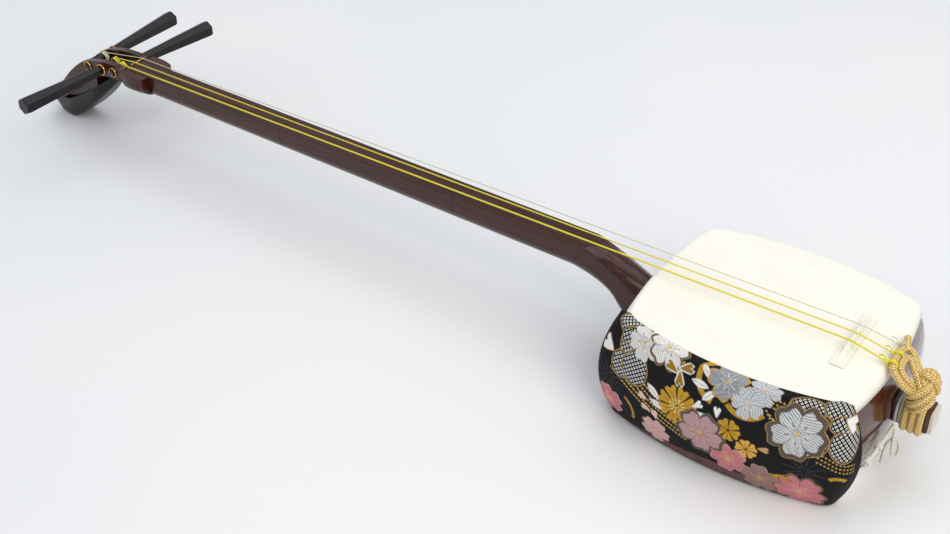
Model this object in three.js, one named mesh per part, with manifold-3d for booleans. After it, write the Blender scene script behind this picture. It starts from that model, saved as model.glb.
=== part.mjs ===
// Nagauta shamisen with its three strings, bridge, tail knot and forearm cover.
// Millimetres, +Z up. Each piece is drawn in the instrument's own frame: the playing face (the front skin)
// is z = 0, the neck runs along -X, the cover and the single peg are on the -Y side.
// The last lines move everything so that the origin is the middle of the underside.
import * as THREE from 'three';
import { mergeVertices } from 'three/addons/utils/BufferGeometryUtils.js';
import Module from 'manifold-3d';

const wasm = await Module();
wasm.setup();

// ---- driving dimensions -------------------------------------------------------------------------------
const gap = 0.3;                    // room between pieces that touch

const bodyHalfLength = 91.2;        // centre of the body to the line through two corners, along the neck
const endBulge = 8.5;               // how far the ends curve out past that line
const bodyHalfWidth = 75.8;
const sideBulge = 14.3;
const cornerEase = 7;               // length of side that each eased corner takes
const bodyDepth = 96;               // front skin to back skin
const barrel = 0.12;                // how much wider the boards are at mid depth than at the skins
const boardWall = 11;
const skinThickness = 0.8;
const frontLap = 9;                 // how far the skins come down over the boards
const backLap = 14;
const skinEdgeRound = 3.5;

const neckLength = 612.8;           // end of the fingerboard to the edge of the front skin
const neckWidthTop = 24.6;
const neckWidthBody = 25.6;
const fingerboardDrop = 4.9;        // fingerboard below the playing face at the head
const fingerboardRise = 2.9;        // how much of that it has lost at the body
const neckDepthTop = 24.8;
const neckDepthBody = 28.8;
const heelLength = 66;              // the swelling where the neck meets the body
const heelDrop = 48.5;              // how far its underside goes down
const heelTopDrop = 22;
const heelCrown = 12;               // how much lower its sides are than its middle
const heelWidth = 33;
const tenonWidth = 9;
const tenonHeight = 12;
const tenonLength = 32;
const jointShares = [1 / 3, 2 / 3]; // where the neck comes apart, from the nut

const headLength = 129;             // end of the fingerboard to the tip of the head
const cheekHalfWidth = 18;
const lobeHalfWidth = 23.4;
const lobeLength = 44;
const lobeDepth = 23.5;
const slotHalfWidth = 11.5;
const slotStart = 9.5;              // from the end of the fingerboard, towards the tip
const slotEnd = 82;
const slotThrough = 50;             // the slot is open at the back up to here
const slotFloor = 31;
const keelHalfWidth = 11.6;
const nutPlace = 5.8;
const nutThickness = 2.6;
const nutSpan = [-4, 15];
const valleyRadius = 2.4;           // the round groove between fingerboard and nut

const pegPlaces = [                 // behind the fingerboard's end, below the playing face, handle side, lean
  { back: 16.9, depth: 10.9, side: 1, lean: 6, windingAt: -5.4 },
  { back: 35.9, depth: 13.5, side: -1, lean: 4.4, windingAt: 1.2 },
  { back: 57.9, depth: 15.4, side: 1, lean: -2.2, windingAt: 5.4 },
];
const pegReach = 109;               // middle of the slot to the end of the handle, of the two far pegs
const nearPegReach = 115.5;         // the same for the one on the cover's side
const pegTipRadius = 9.5;
const pegNeckRadius = 6;
const pegShaftRadius = 4.4;
const pegTailRadius = 3.6;
const pegRunning = 0.35;            // room round a peg's shaft
const ringThickness = 1.6;
const ringWidths = { large: 1.8, small: 1.3 };

const capWall = 1.8;
const capHalfWidth = 17.2;
const capStart = 28;                // from the end of the fingerboard

const stringRadii = [0.75, 0.6, 0.42];
const stringSpreadNut = 10.65;      // distance between strings
const stringSpreadBridge = 11;
const stringNutHeight = -3.25;
const stringBridgeHeight = 9.1;
const windingWidth = 5;

const bridgePlace = 67.8;           // from the centre of the body
const bridgeLength = 70;
const bridgeTopLength = 31;
const bridgeWidth = 11;
const bridgeFoot = 1.6;
const bridgeRidge = [4.6, 1.5];     // thickness of the ridge at its foot and at its top

const spikeWidth = 18;
const spikeHeight = 20;
const spikeDepth = 43;              // its centre, below the playing face
const spikeReach = 40.6;            // past the edge of the front skin
const spikeCapLength = 3;
const spikePost = 4;                // half width of the post that holds the end piece
const spikeFit = 0.4;

const coverCore = 2;                // the forearm cover: stiff core, and the brocade over it
const coverBrocade = 2.4;
const coverLip = 2.7;               // how far it stands above the playing face
const coverReach = 4.6;             // how far it comes in over the skin
const coverFoot = 0.8;              // room under it
const coverStart = 6;               // from a corner of the body along the end, at the playing face
const coverTongue = -1;             // how much further along the end it reaches at mid depth, where the body is wider

const cordRadius = 1.15;
const tieRadius = 1.6;
const braidRadius = 2.9;
const knotRadii = [13.5, 17, 20];
const knotRaise = 26;               // its centre, above the middle of the spike
const collarSize = [19.4, 31, 29];  // the turns of braid round the spike

// ---- places worked out from them ----------------------------------------------------------------------
const skinEnd = bodyHalfLength + endBulge;
const skinSide = bodyHalfWidth + sideBulge;
const boardEnd = -(skinEnd + neckLength);       // end of the fingerboard, x
const midDepth = -bodyDepth / 2;
const tailFace = skinEnd * (1 + barrel);        // outermost x of the tail board
const headRoot = boardEnd + lobeLength * 0.6;   // where the head ends and the neck begins
const mix = THREE.MathUtils.lerp;
const ease = THREE.MathUtils.smoothstep;
const clamp = THREE.MathUtils.clamp;

// ---- materials ----------------------------------------------------------------------------------------
const finish = (color, roughness, metalness = 0) => new THREE.MeshStandardMaterial({ color, roughness, metalness });
const looks = {
  neckWood: () => finish('#3a1c18', 0.22),
  bodyWood: () => finish('#5a2f25', 0.25),
  pegBlack: () => finish('#1d1b22', 0.35),
  capBlack: () => finish('#26262a', 0.3),
  gold: () => finish('#caa26a', 0.28, 1),
  skin: () => finish('#f3f2ea', 0.5),
  silk: () => finish('#d8c820', 0.4),
  paleSilk: () => finish('#e6e2c4', 0.4),
  ivory: () => finish('#f2ead0', 0.4),
  pale: () => finish('#d9d4c8', 0.4),
  braid: () => finish('#d9a94e', 0.55),
  whiteCord: () => finish('#d8d6cd', 0.7),
  board: () => finish('#8a7a60', 0.8),
  brocade: () => finish('#2c2a30', 0.6),
};

// ---- solids -------------------------------------------------------------------------------------------
function solidOf(geometry) {
  const bare = geometry.clone();
  bare.deleteAttribute('normal');
  bare.deleteAttribute('uv');
  const joined = mergeVertices(bare, 1e-4);
  return new wasm.Manifold(new wasm.Mesh({
    numProp: 3,
    vertProperties: Float32Array.from(joined.attributes.position.array),
    triVerts: Uint32Array.from(joined.index.array),
  }));
}

function geometryOf(solid) {
  const mesh = solid.getMesh();
  const geometry = new THREE.BufferGeometry();
  geometry.setAttribute('position', new THREE.BufferAttribute(Float32Array.from(mesh.vertProperties), 3));
  geometry.setIndex(new THREE.BufferAttribute(Uint32Array.from(mesh.triVerts), 1));
  return geometry;
}

// Moves each corner of a geometry to where place() puts it.
function reshape(geometry, place) {
  const corners = geometry.attributes.position;
  const point = new THREE.Vector3();
  for (let i = 0; i < corners.count; i += 1) {
    place(point.fromBufferAttribute(corners, i));
    corners.setXYZ(i, point.x, point.y, point.z);
  }
  return geometry;
}

function box(x0, x1, y0, y1, z0, z1) {
  const geometry = new THREE.BoxGeometry(x1 - x0, y1 - y0, z1 - z0);
  return geometry.translate((x0 + x1) / 2, (y0 + y1) / 2, (z0 + z1) / 2);
}

const boxSolid = (...limits) => solidOf(box(...limits));

// A bar along X: unit section in (y, z), one copy at each x, sized by place(x, u, v) -> [y, z].
function lengthwise(section, stations, place) {
  const steps = stations.length - 1;
  const bar = new THREE.ExtrudeGeometry(section, { depth: 1, steps, bevelEnabled: false });
  return reshape(bar, (point) => {
    const x = stations[Math.round(point.z * steps)];
    const [y, z] = place(x, point.x, point.y);
    point.set(x, y, z);
  });
}

function between(from, to, count) {
  return Array.from({ length: count + 1 }, (_, i) => mix(from, to, i / count));
}

// A plate drawn in (x, z) and given its thickness along Y.
function sideways(points, y0, y1) {
  const plate = new THREE.ExtrudeGeometry(new THREE.Shape(points), { depth: y1 - y0, bevelEnabled: false });
  return reshape(plate, (point) => point.set(point.x, y1 - point.z, point.y));
}

// A round bar along Y; radii and places run from y0 upwards.
function turned(profile, sides) {
  return new THREE.LatheGeometry(profile.map(([radius, y]) => new THREE.Vector2(radius, y)), sides);
}

function tube(points, radius, sides, steps) {
  const section = new THREE.Shape();
  section.absarc(0, 0, radius, 0, 2 * Math.PI, false);
  const path = new THREE.CatmullRomCurve3(points.map((p) => new THREE.Vector3(...p)), false, 'centripetal');
  const shape = new THREE.Shape(section.getPoints(sides).slice(0, sides));
  return new THREE.ExtrudeGeometry(shape, { steps, extrudePath: path, bevelEnabled: false });
}

// ---- the body -----------------------------------------------------------------------------------------
// Plan outline of the body: four shallow curves with eased corners.
function bodyOutline(grow) {
  const corners = [[-1, -1], [1, -1], [1, 1], [-1, 1]]
    .map(([x, y]) => new THREE.Vector2(x * bodyHalfLength, y * bodyHalfWidth));
  const sides = corners.map((start, i) => {
    const end = corners[(i + 1) % 4];
    const middle = start.clone().add(end);
    const bulge = new THREE.Vector2(Math.sign(middle.x) * endBulge, Math.sign(middle.y) * sideBulge);
    const cut = cornerEase / start.distanceTo(end);
    return between(cut, 1 - cut, 9)
      .map((t) => start.clone().lerp(end, t).addScaledVector(bulge, 4 * t * (1 - t)));
  });
  const points = sides.flatMap((side, i) => {
    const next = (i + 1) % 4;
    const bend = new THREE.QuadraticBezierCurve(side[side.length - 1], corners[next], sides[next][0]);
    return [...side, ...bend.getPoints(4).slice(1, 4)];
  });
  const stretch = new THREE.Vector2(1 + grow / skinEnd, 1 + grow / skinSide);
  return points.map((point) => point.multiply(stretch));
}

// Width of the body at a depth, as a share of its width at the skins.
const barrelAt = (z) => 1 + barrel * (1 - ((z - midDepth) / midDepth) ** 2);

// Levels of a rounded rim: [height from the rim's foot, how far it has come in].
const rimLevels = (radius) => between(0, Math.PI / 2, 3)
  .map((angle) => [radius * Math.sin(angle), radius * (1 - Math.cos(angle))]);

// A slab of the body from bottom to top, grown outwards, with its rims rounded if asked.
function bodySlab(grow, bottom, top, { lowRound = 0, topRound = 0, steps = 8 } = {}) {
  const levels = between(bottom + lowRound, top - topRound, steps).map((z) => [z, 0]);
  if (topRound > 0) levels.push(...rimLevels(topRound).slice(1).map(([up, inset]) => [top - topRound + up, inset]));
  if (lowRound > 0) {
    levels.unshift(...rimLevels(lowRound).slice(1).map(([up, inset]) => [bottom + lowRound - up, inset]).reverse());
  }
  const count = levels.length - 1;
  const slab = new THREE.ExtrudeGeometry(new THREE.Shape(bodyOutline(grow)), { depth: 1, steps: count,
    bevelEnabled: false });
  return solidOf(reshape(slab, (point) => {
    const [z, inset] = levels[Math.round(point.z * count)];
    const scale = barrelAt(z);
    point.set(point.x * (scale - inset / skinEnd), point.y * (scale - inset / skinSide), z);
  }));
}

// Wedge in plan that holds one board, up to its mitred corners.
function mitreWedge(side) {
  const far = 80;
  const across = bodyHalfLength - bodyHalfWidth;
  const slip = gap / Math.SQRT2;
  const x = bodyHalfLength + far;
  const y = bodyHalfWidth + far;
  const endWedge = [[-x - slip, y], [-x - slip, -y], [-across - slip, 0]];
  const sideWedge = [[-x, -y - slip], [x, -y - slip], [across, -slip], [-across, -slip]];
  const corners = side === 'head' || side === 'tail' ? endWedge : sideWedge;
  const shape = new THREE.Shape(corners.map((corner) => new THREE.Vector2(...corner)));
  const wedge = new THREE.ExtrudeGeometry(shape, { depth: bodyDepth, bevelEnabled: false });
  wedge.translate(0, 0, -bodyDepth);
  if (side === 'tail' || side === 'far') wedge.rotateZ(Math.PI);
  return solidOf(wedge);
}

const underSkin = skinThickness + gap;
const boardRound = Math.max(0.4, skinEdgeRound - underSkin);

function bodyFrame() {
  const outer = bodySlab(-underSkin, -bodyDepth + underSkin, -underSkin,
    { lowRound: boardRound, topRound: boardRound, steps: 6 });
  const hollow = bodySlab(-underSkin - boardWall, -bodyDepth - 5, 5, { steps: 3 });
  return outer.subtract(hollow).subtract(spikeBar(spikeFit));
}

// The front skin; the back one is the same piece turned over, with its own lap.
function skin(lap) {
  const outer = bodySlab(0, -lap, 0, { topRound: skinEdgeRound, steps: 2 });
  const inner = bodySlab(-skinThickness, -lap - 10, -skinThickness,
    { topRound: Math.max(0.4, skinEdgeRound - skinThickness), steps: 2 });
  return outer.subtract(inner);
}

// ---- the neck -----------------------------------------------------------------------------------------
// Height at x along a smooth curve through [x, z] points given from the head to the tail.
function heightAlong(points) {
  const line = new THREE.SplineCurve(points.map(([x, z]) => new THREE.Vector2(x, z))).getPoints(80);
  return (x) => {
    const found = line.findIndex((point) => point.x >= x);
    const next = found < 0 ? line.length - 1 : Math.max(1, found);
    const [a, b] = [line[next - 1], line[next]];
    return mix(a.y, b.y, clamp((x - a.x) / (b.x - a.x), 0, 1));
  };
}

const neckShare = (x) => clamp((x - boardEnd) / neckLength, 0, 1);
const heelStart = -skinEnd - heelLength;
const heelShare = (x) => clamp((x - heelStart) / heelLength, 0, 1.35);
const fingerboard = (x) => -fingerboardDrop + fingerboardRise * neckShare(x);
const neckTop = (x) => fingerboard(x) - heelTopDrop * heelShare(x) ** 1.45;
const neckDepth = (x) => mix(neckDepthTop, neckDepthBody, neckShare(x));
const heelFall = heightAlong([[-1.35, 0], [-1.2, 0], [-1, 0.06], [-0.8, 0.145], [-0.62, 0.27], [-0.52, 0.42],
  [-0.44, 0.58], [-0.33, 0.74], [-0.17, 0.88], [0, 1], [0.35, 1.1]]);
const neckBottom = (x) => fingerboard(x) - neckDepth(x) - heelDrop * heelFall((x + skinEnd) / heelLength);

function neckHalfWidth(x) {
  const straight = mix(neckWidthTop, neckWidthBody, neckShare(x)) / 2;
  return mix(straight, heelWidth / 2, ease(x, heelStart, -skinEnd));
}

// Neck section: flat top with crisp edges, straight sides, half-round underside.
function neckSection() {
  const chamfer = 0.04;
  const straight = 0.5;
  const section = new THREE.Shape();
  section.moveTo(1, -chamfer);
  between(1 - chamfer, -1 + chamfer, 5).forEach((u) => section.lineTo(u, 0));
  section.lineTo(-1, -chamfer);
  section.lineTo(-1, -straight);
  section.absellipse(0, -straight, 1, 1 - straight, Math.PI, 2 * Math.PI, false);
  return new THREE.Shape(section.getPoints(8));
}

function neckPlace(x, u, v) {
  const crown = heelCrown * heelShare(x) ** 0.85 * u * u * (1 + v);
  return [u * neckHalfWidth(x), neckTop(x) + v * (neckTop(x) - neckBottom(x)) - crown];
}

const jointPlaces = jointShares.map((share) => boardEnd + share * neckLength);
const tenonTop = -fingerboardDrop - 6;

function tenon(x, room) {
  const half = tenonWidth / 2 + room;
  return boxSolid(x - 3, x + tenonLength + room, -half, half, tenonTop - tenonHeight - room, tenonTop + room);
}

const neckBar = (stations) => solidOf(lengthwise(neckSection(), stations, neckPlace));

function upperNeck() {
  return neckBar(between(headRoot + gap / 2, jointPlaces[0] - gap / 2, 6))
    .add(tenon(jointPlaces[0], 0))
    .subtract(tenon(headRoot, gap));
}

function middleNeck() {
  return neckBar(between(jointPlaces[0] + gap / 2, jointPlaces[1] - gap / 2, 6))
    .add(tenon(jointPlaces[1], 0))
    .subtract(tenon(jointPlaces[0], gap));
}

function lowerNeck() {
  const straight = between(jointPlaces[1] + gap / 2, heelStart - heelLength * 0.3, 3);
  const swelling = between(heelStart - heelLength * 0.3, -skinEnd + 14, 18).slice(1);
  return neckBar([...straight, ...swelling])
    .subtract(tenon(jointPlaces[1], gap))
    .subtract(bodySlab(-underSkin + gap, -bodyDepth, 0, { steps: 10 }))
    .subtract(bodySlab(gap, -frontLap - gap, 5, { steps: 2 }))
    .subtract(bodySlab(gap, -bodyDepth - 5, -bodyDepth + backLap + gap, { steps: 2 }))
    .subtract(spikeBar(spikeFit));
}

// The square bar that joins neck and body, and ends in the tail spike.
const spikeRoot = -skinEnd - heelLength * 0.38;
const spikeTip = skinEnd + spikeReach - spikeCapLength;

function spikeBar(room) {
  const w = spikeWidth / 2 + room;
  const h = spikeHeight / 2 + room;
  return boxSolid(spikeRoot - room, spikeTip + room, -w, w, -spikeDepth - h, -spikeDepth + h);
}

function spikePostSolid(room) {
  const half = spikePost + room;
  return boxSolid(spikeTip - 8 - room, spikeTip + 1, -half, half, -spikeDepth - half, -spikeDepth + half);
}

function spikeEnd() {
  const plate = new THREE.ExtrudeGeometry(eased(spikeWidth, spikeHeight, 3),
    { depth: spikeCapLength - gap, bevelEnabled: false });
  const along = reshape(plate, (p) => p.set(spikeTip + gap + p.z, p.x, p.y - spikeDepth));
  return solidOf(along).add(spikePostSolid(0));
}

// A rectangle with round corners, centred on zero.
function eased(width, height, radius) {
  const x = width / 2 - radius;
  const y = height / 2 - radius;
  const shape = new THREE.Shape();
  [[x, y], [-x, y], [-x, -y], [x, -y]].forEach(([cx, cy], i) => {
    shape.absarc(cx, cy, radius, i * Math.PI / 2, (i + 1) * Math.PI / 2, false);
  });
  return new THREE.Shape(shape.getPoints(4));
}

// ---- the head -----------------------------------------------------------------------------------------
// Curves along the head are given as [distance behind the fingerboard's end, z].
const behind = (points) => points.map(([back, z]) => [boardEnd - back, z]).reverse();
const cheekTopAt = heightAlong(behind([[-lobeLength * 0.6, -fingerboardDrop], [-6, -fingerboardDrop],
  [4, -fingerboardDrop], [10, -3], [20, -3], [33, -4], [46, -6.6], [64, -12], [76, -20.2], [88, -30.6],
  [99, -42], [110, -54.6], [120, -66.5], [headLength, -75.4]]));
const cheekUnderAt = heightAlong(behind([[-lobeLength * 0.6, -20], [12, -19], [24, -19.2], [34, -20.4],
  [46.6, -24.6], [59.4, -33.2], [78, -46.6], [94, -59.6], [106, -68.4], [118, -76], [headLength, -81]]));
const capRimAt = heightAlong(behind([[20, -21.6], [capStart, -22.4], [41, -31], [54, -41], [68, -50.6],
  [83, -60], [96, -67.6], [105, -71.4], [114, -72], [122, -73.4], [headLength + 4, -76.5]]));
const capUnderAt = heightAlong(behind([[20, -24], [capStart, -28], [36, -38], [46, -48.6], [58, -60.4], [72, -73],
  [86, -84.4], [98, -92.6], [105, -95.4], [122, -95.5], [126, -92], [headLength + 4, -82]]));
const headStations = (from, to, count) => between(boardEnd - from, boardEnd - to, count);

function plateBetween(stations, topAt, underAt, half) {
  const outline = [...stations.map((x) => new THREE.Vector2(x, topAt(x))),
    ...[...stations].reverse().map((x) => new THREE.Vector2(x, underAt(x)))];
  return solidOf(sideways(outline, -half, half));
}

// The two cheeks are one block until the slot is cut.
const cheeks = () => plateBetween(headStations(headLength, -lobeLength * 0.6, 34), cheekTopAt, cheekUnderAt,
  cheekHalfWidth);

const keelClear = capWall + 2 * gap;
const keel = () => plateBetween(headStations(headLength - 6, 56, 18), (x) => cheekUnderAt(x) + 2,
  (x) => capUnderAt(x) + keelClear, keelHalfWidth);

// The two round lobes where the head meets the neck.
function lobes() {
  const section = new THREE.Shape();
  section.moveTo(1, -0.03);
  section.lineTo(0.97, 0);
  section.lineTo(-0.97, 0);
  section.lineTo(-1, -0.03);
  section.lineTo(-1, -0.42);
  section.absellipse(0, -0.42, 1, 0.58, Math.PI, 2 * Math.PI, false);
  const unit = new THREE.Shape(section.getPoints(9));
  const neckHalf = neckWidthTop / 2 - gap;
  return solidOf(lengthwise(unit, between(boardEnd - 1, boardEnd + lobeLength, 16), (x, u, v) => {
    const along = (x - boardEnd) / lobeLength;
    const swell = Math.sqrt(Math.max(0, 1 - ((along - 0.2) / 0.66) ** 2));
    const half = mix(neckHalf, Math.max(lobeHalfWidth, neckHalf), swell ** 1.3);
    return [u * half, -fingerboardDrop + v * mix(neckDepthTop - 2, lobeDepth, swell)];
  }));
}

// Puts a piece drawn round the Y axis on a peg's leaning axis, seen from the handle side.
function onPegAxis(geometry, peg) {
  if (peg.side < 0) geometry.rotateZ(Math.PI);
  return geometry.rotateZ(-THREE.MathUtils.degToRad(peg.lean)).translate(boardEnd - peg.back, 0, -peg.depth);
}

function pegHole(peg) {
  const edge = cheekHalfWidth + 20;
  const wide = pegShaftRadius + pegRunning;
  const narrow = pegTailRadius + pegRunning;
  const step = slotHalfWidth - 2;
  return solidOf(onPegAxis(turned([[0, -edge], [narrow, -edge], [narrow, -step], [wide, step], [wide, edge],
    [0, edge]], 20), peg));
}

const nutLimits = (room) => {
  const middle = boardEnd - nutPlace;
  const half = nutThickness / 2 + room;
  return [middle - half, middle + half, nutSpan[0] - room, nutSpan[1] + room, -fingerboardDrop - 2.4 - room];
};

function head() {
  const slotSides = [-slotHalfWidth, slotHalfWidth];
  const slot = boxSolid(boardEnd - slotEnd, boardEnd - slotStart, ...slotSides, -slotFloor, 10);
  const through = boxSolid(boardEnd - slotThrough, boardEnd - slotStart, ...slotSides, -60, 10);
  const shelf = boxSolid(boardEnd - slotStart - 1, boardEnd - nutPlace, ...slotSides, -fingerboardDrop - 1.2, 10);
  const valley = turned([[0, -40], [valleyRadius, -40], [valleyRadius, 40], [0, 40]], 16);
  valley.translate(boardEnd - valleyRadius - 0.3, 0, -fingerboardDrop + 0.7);
  const cuts = [slot, through, shelf, solidOf(valley), boxSolid(...nutLimits(gap), 4), cap(gap),
    ...pegPlaces.map(pegHole)];
  const wood = cuts.reduce((solid, cut) => solid.subtract(cut), cheeks().add(keel()).add(lobes()));
  const beyond = boxSolid(headRoot - gap / 2, headRoot + 200, -60, 60, -80, 20);
  return wood.subtract(beyond).add(tenon(headRoot, 0));
}

function nut() {
  return box(...nutLimits(0), stringNutHeight - stringRadii[1] - gap);
}

// ---- pegs and their rings -----------------------------------------------------------------------------
// Drawn along Y with the handle at +Y: six-sided handle, round shaft through both cheeks.
function peg(reach) {
  const root = cheekHalfWidth + ringThickness + 5 * gap;
  const tail = cheekHalfWidth + ringThickness + 1.2;
  const handle = turned([[0, root], [pegNeckRadius - 0.6, root], [pegNeckRadius, root + 1.6],
    [pegTipRadius, reach - 3], [pegTipRadius - 1, reach], [0, reach]], 6);
  const shaft = turned([[0, -tail], [pegTailRadius - 0.5, -tail], [pegTailRadius, -tail + 0.6],
    [pegTailRadius, -slotHalfWidth], [pegShaftRadius, slotHalfWidth], [pegShaftRadius, root + 4],
    [0, root + 4]], 16);
  return solidOf(handle).add(solidOf(shaft));
}

// A collar on a cheek, drawn with its flat back at y = 0.
function ring(shaftRadius, width) {
  const inner = shaftRadius + pegRunning + 0.25;
  const outer = inner + width;
  const t = ringThickness;
  return turned([[inner, 0], [outer, 0], [outer - 0.15, t * 0.5], [outer - width * 0.45, t], [inner, t], [inner, 0]], 14);
}

function winding(index) {
  const inner = pegShaftRadius + gap;
  const outer = inner + 2 * stringRadii[index];
  const half = windingWidth / 2;
  return turned([[inner, -half], [outer, -half], [outer, half], [inner, half], [inner, -half]], 20);
}

// ---- the cap on the back of the head ------------------------------------------------------------------
function capHalfAt(x) {
  const back = boardEnd - x;
  const front = ease(back, capStart - 14, capStart + 34);
  const tip = 1 - 0.26 * ease(back, headLength - 34, headLength + 4);
  return capHalfWidth * front * tip;
}

function capLoft(wall, rise, from, to) {
  const section = new THREE.Shape([[1, 0], [0.99, -0.35], [0.95, -0.7], [0.85, -0.92], [0.66, -1], [-0.66, -1],
    [-0.85, -0.92], [-0.95, -0.7], [-0.99, -0.35], [-1, 0]].map((p) => new THREE.Vector2(...p)));
  return solidOf(lengthwise(section, headStations(to, from, 18), (x, u, v) => {
    const top = capRimAt(x) + rise;
    const bottom = capUnderAt(x) + wall;
    return [u * Math.max(0.6, capHalfAt(x) - wall), mix(top, Math.min(bottom, top - 0.5), -v)];
  }));
}

// The cap, or with room the space that it takes in the head's wood.
function cap(room = 0) {
  const hollow = capLoft(capWall + room, 6, capStart + 6 + room, headLength - 1.4 - room);
  return capLoft(-room, room, capStart - room, headLength + 1 + room).subtract(hollow);
}

// ---- bridge, strings ----------------------------------------------------------------------------------
const bridgeTop = stringBridgeHeight - stringRadii[0] - gap;

function bridge() {
  const half = bridgeLength / 2;
  const topHalf = bridgeTopLength / 2;
  const foot = box(-bridgeWidth / 2, bridgeWidth / 2, -half, half, gap, bridgeFoot);
  const ridge = new THREE.Shape();
  ridge.moveTo(-half + 3, bridgeFoot - 0.4);
  ridge.lineTo(half - 3, bridgeFoot - 0.4);
  ridge.quadraticCurveTo(topHalf + 5, bridgeFoot + 1.2, topHalf, bridgeTop);
  ridge.lineTo(-topHalf, bridgeTop);
  ridge.quadraticCurveTo(-topHalf - 5, bridgeFoot + 1.2, -half + 3, bridgeFoot - 0.4);
  const wall = new THREE.ExtrudeGeometry(new THREE.Shape(ridge.getPoints(6)), { depth: 1, bevelEnabled: false });
  reshape(wall, (p) => {
    const thick = mix(...bridgeRidge, clamp((p.y - bridgeFoot) / (bridgeTop - bridgeFoot), 0, 1));
    p.set((p.z - 0.5) * thick, p.x, p.y);
  });
  const window = (y, radius) => {
    const round = new THREE.CylinderGeometry(radius, radius, bridgeWidth, 16).rotateZ(Math.PI / 2);
    return solidOf(round.translate(0, y, bridgeFoot + radius + 0.2));
  };
  return solidOf(foot).add(solidOf(wall)).subtract(window(stringSpreadBridge / 2, 2.3))
    .subtract(window(-stringSpreadBridge / 2, 2.3)).translate([bridgePlace, 0, 0]);
}

const loopCross = [skinEnd + 2.9, braidRadius];    // x and z of the braid that the strings tie to

// A string as a chain of straight stretches: winding, nut, bridge, tail loop.
function string(index) {
  const place = pegPlaces[index];
  const radius = stringRadii[index];
  const lean = Math.tan(THREE.MathUtils.degToRad(place.lean));
  const order = index - 1;
  const onWinding = pegShaftRadius + 2 * gap + 3 * radius;
  const stops = [
    [boardEnd - place.back + lean * place.windingAt, place.windingAt, -place.depth + onWinding],
    [boardEnd - nutPlace, order * stringSpreadNut, stringNutHeight],
    [bridgePlace, order * stringSpreadBridge, stringBridgeHeight],
    [loopCross[0] - braidRadius - gap, order * (stringSpreadBridge + 1.4), loopCross[1]],
  ];
  const section = new THREE.Shape();
  section.absarc(0, 0, radius, 0, 2 * Math.PI, false);
  const round = new THREE.Shape(section.getPoints(4).slice(0, 8));
  return lengthwise(round, stops.map(([x]) => x), (x, u, v) => {
    const stop = stops.find(([at]) => at === x);
    return [stop[1] + u, stop[2] + v];
  });
}

// ---- the tail cord ------------------------------------------------------------------------------------
const knotX = tailFace + 1.8 + knotRadii[0];

function knot(grow) {
  const ball = new THREE.SphereGeometry(1, 20, 14).scale(...knotRadii.map((radius) => radius + grow));
  ball.translate(knotX, -5, -spikeDepth + knotRaise);
  const [length, width, height] = collarSize;
  const collar = new THREE.ExtrudeGeometry(eased(width, height, 7), { depth: length + 2 * grow,
    bevelEnabled: false });
  reshape(collar, (p) => p.set(tailFace + 4.2 - grow + p.z, p.x - 1, p.y - spikeDepth - 1));
  return solidOf(ball).add(solidOf(collar)).subtract(spikeBar(gap)).subtract(solidOf(spikePlateRoom()));
}

function spikePlateRoom() {
  const w = spikeWidth / 2 + gap;
  const h = spikeHeight / 2 + gap;
  return box(spikeTip - 1, spikeTip + spikeCapLength + gap, -w, w, -spikeDepth - h, -spikeDepth + h);
}

// The loop over the edge of the skin that takes the strings, and its short end.
function loop() {
  const [x, z] = loopCross;
  const route = [[knotX - 4, -14, -16], [x + 14, -19, -8], [x + 8, -19, -3], [x + 3, -16.5, 1], [x, -11, z],
    [x - 0.4, -4, z], [x - 0.4, 4, z], [x + 1, 10, z], [x + 4.6, 12.6, z - 1], [x + 9, 9.5, z - 2],
    [x + 14, 4, z - 3.6], [x + 19, -2, -3], [knotX - 1, -5, -9]];
  const end = [[x + 1.6, 12.5, z + 0.4], [x, 18, z], [x - 1.8, 24, z]];
  return solidOf(tube(route, braidRadius, 8, 32)).add(solidOf(tube(end, braidRadius - 0.2, 8, 4)))
    .subtract(knot(gap));
}

// ---- the forearm cover --------------------------------------------------------------------------------
// Everything on the near side of a curve in (y, z): the cover's ends reach furthest at mid depth.
function coverRegion() {
  const edge = between(-bodyDepth, 0, 16).map((z) => {
    const reach = 1 - ((z - midDepth) / midDepth) ** 2;
    return new THREE.Vector2(-bodyHalfWidth + coverStart + coverTongue * reach, z);
  });
  const start = -bodyHalfWidth + coverStart;
  const outline = [new THREE.Vector2(-300, -300), new THREE.Vector2(start, -300), ...edge,
    new THREE.Vector2(start, 100), new THREE.Vector2(-300, 100)];
  const prism = new THREE.ExtrudeGeometry(new THREE.Shape(outline), { depth: 500, bevelEnabled: false });
  return solidOf(reshape(prism, (p) => p.set(p.z - 250, p.x, p.y)));
}

function coverShell(inner, outer, top, round) {
  return bodySlab(outer, -bodyDepth + coverFoot, top, { topRound: round, steps: 8 })
    .subtract(bodySlab(inner, -bodyDepth - 5, Math.min(top + 5, gap), { steps: 8 }))
    .intersect(coverRegion());
}

function core() {
  return coverShell(gap, gap + coverCore, -gap, 0);
}

function brocade() {
  const inner = 2 * gap + coverCore;
  const overSkin = bodySlab(-coverReach, -5, 20, { steps: 2 });
  return coverShell(inner, inner + coverBrocade, coverLip, 2.2).subtract(overSkin);
}

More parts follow.
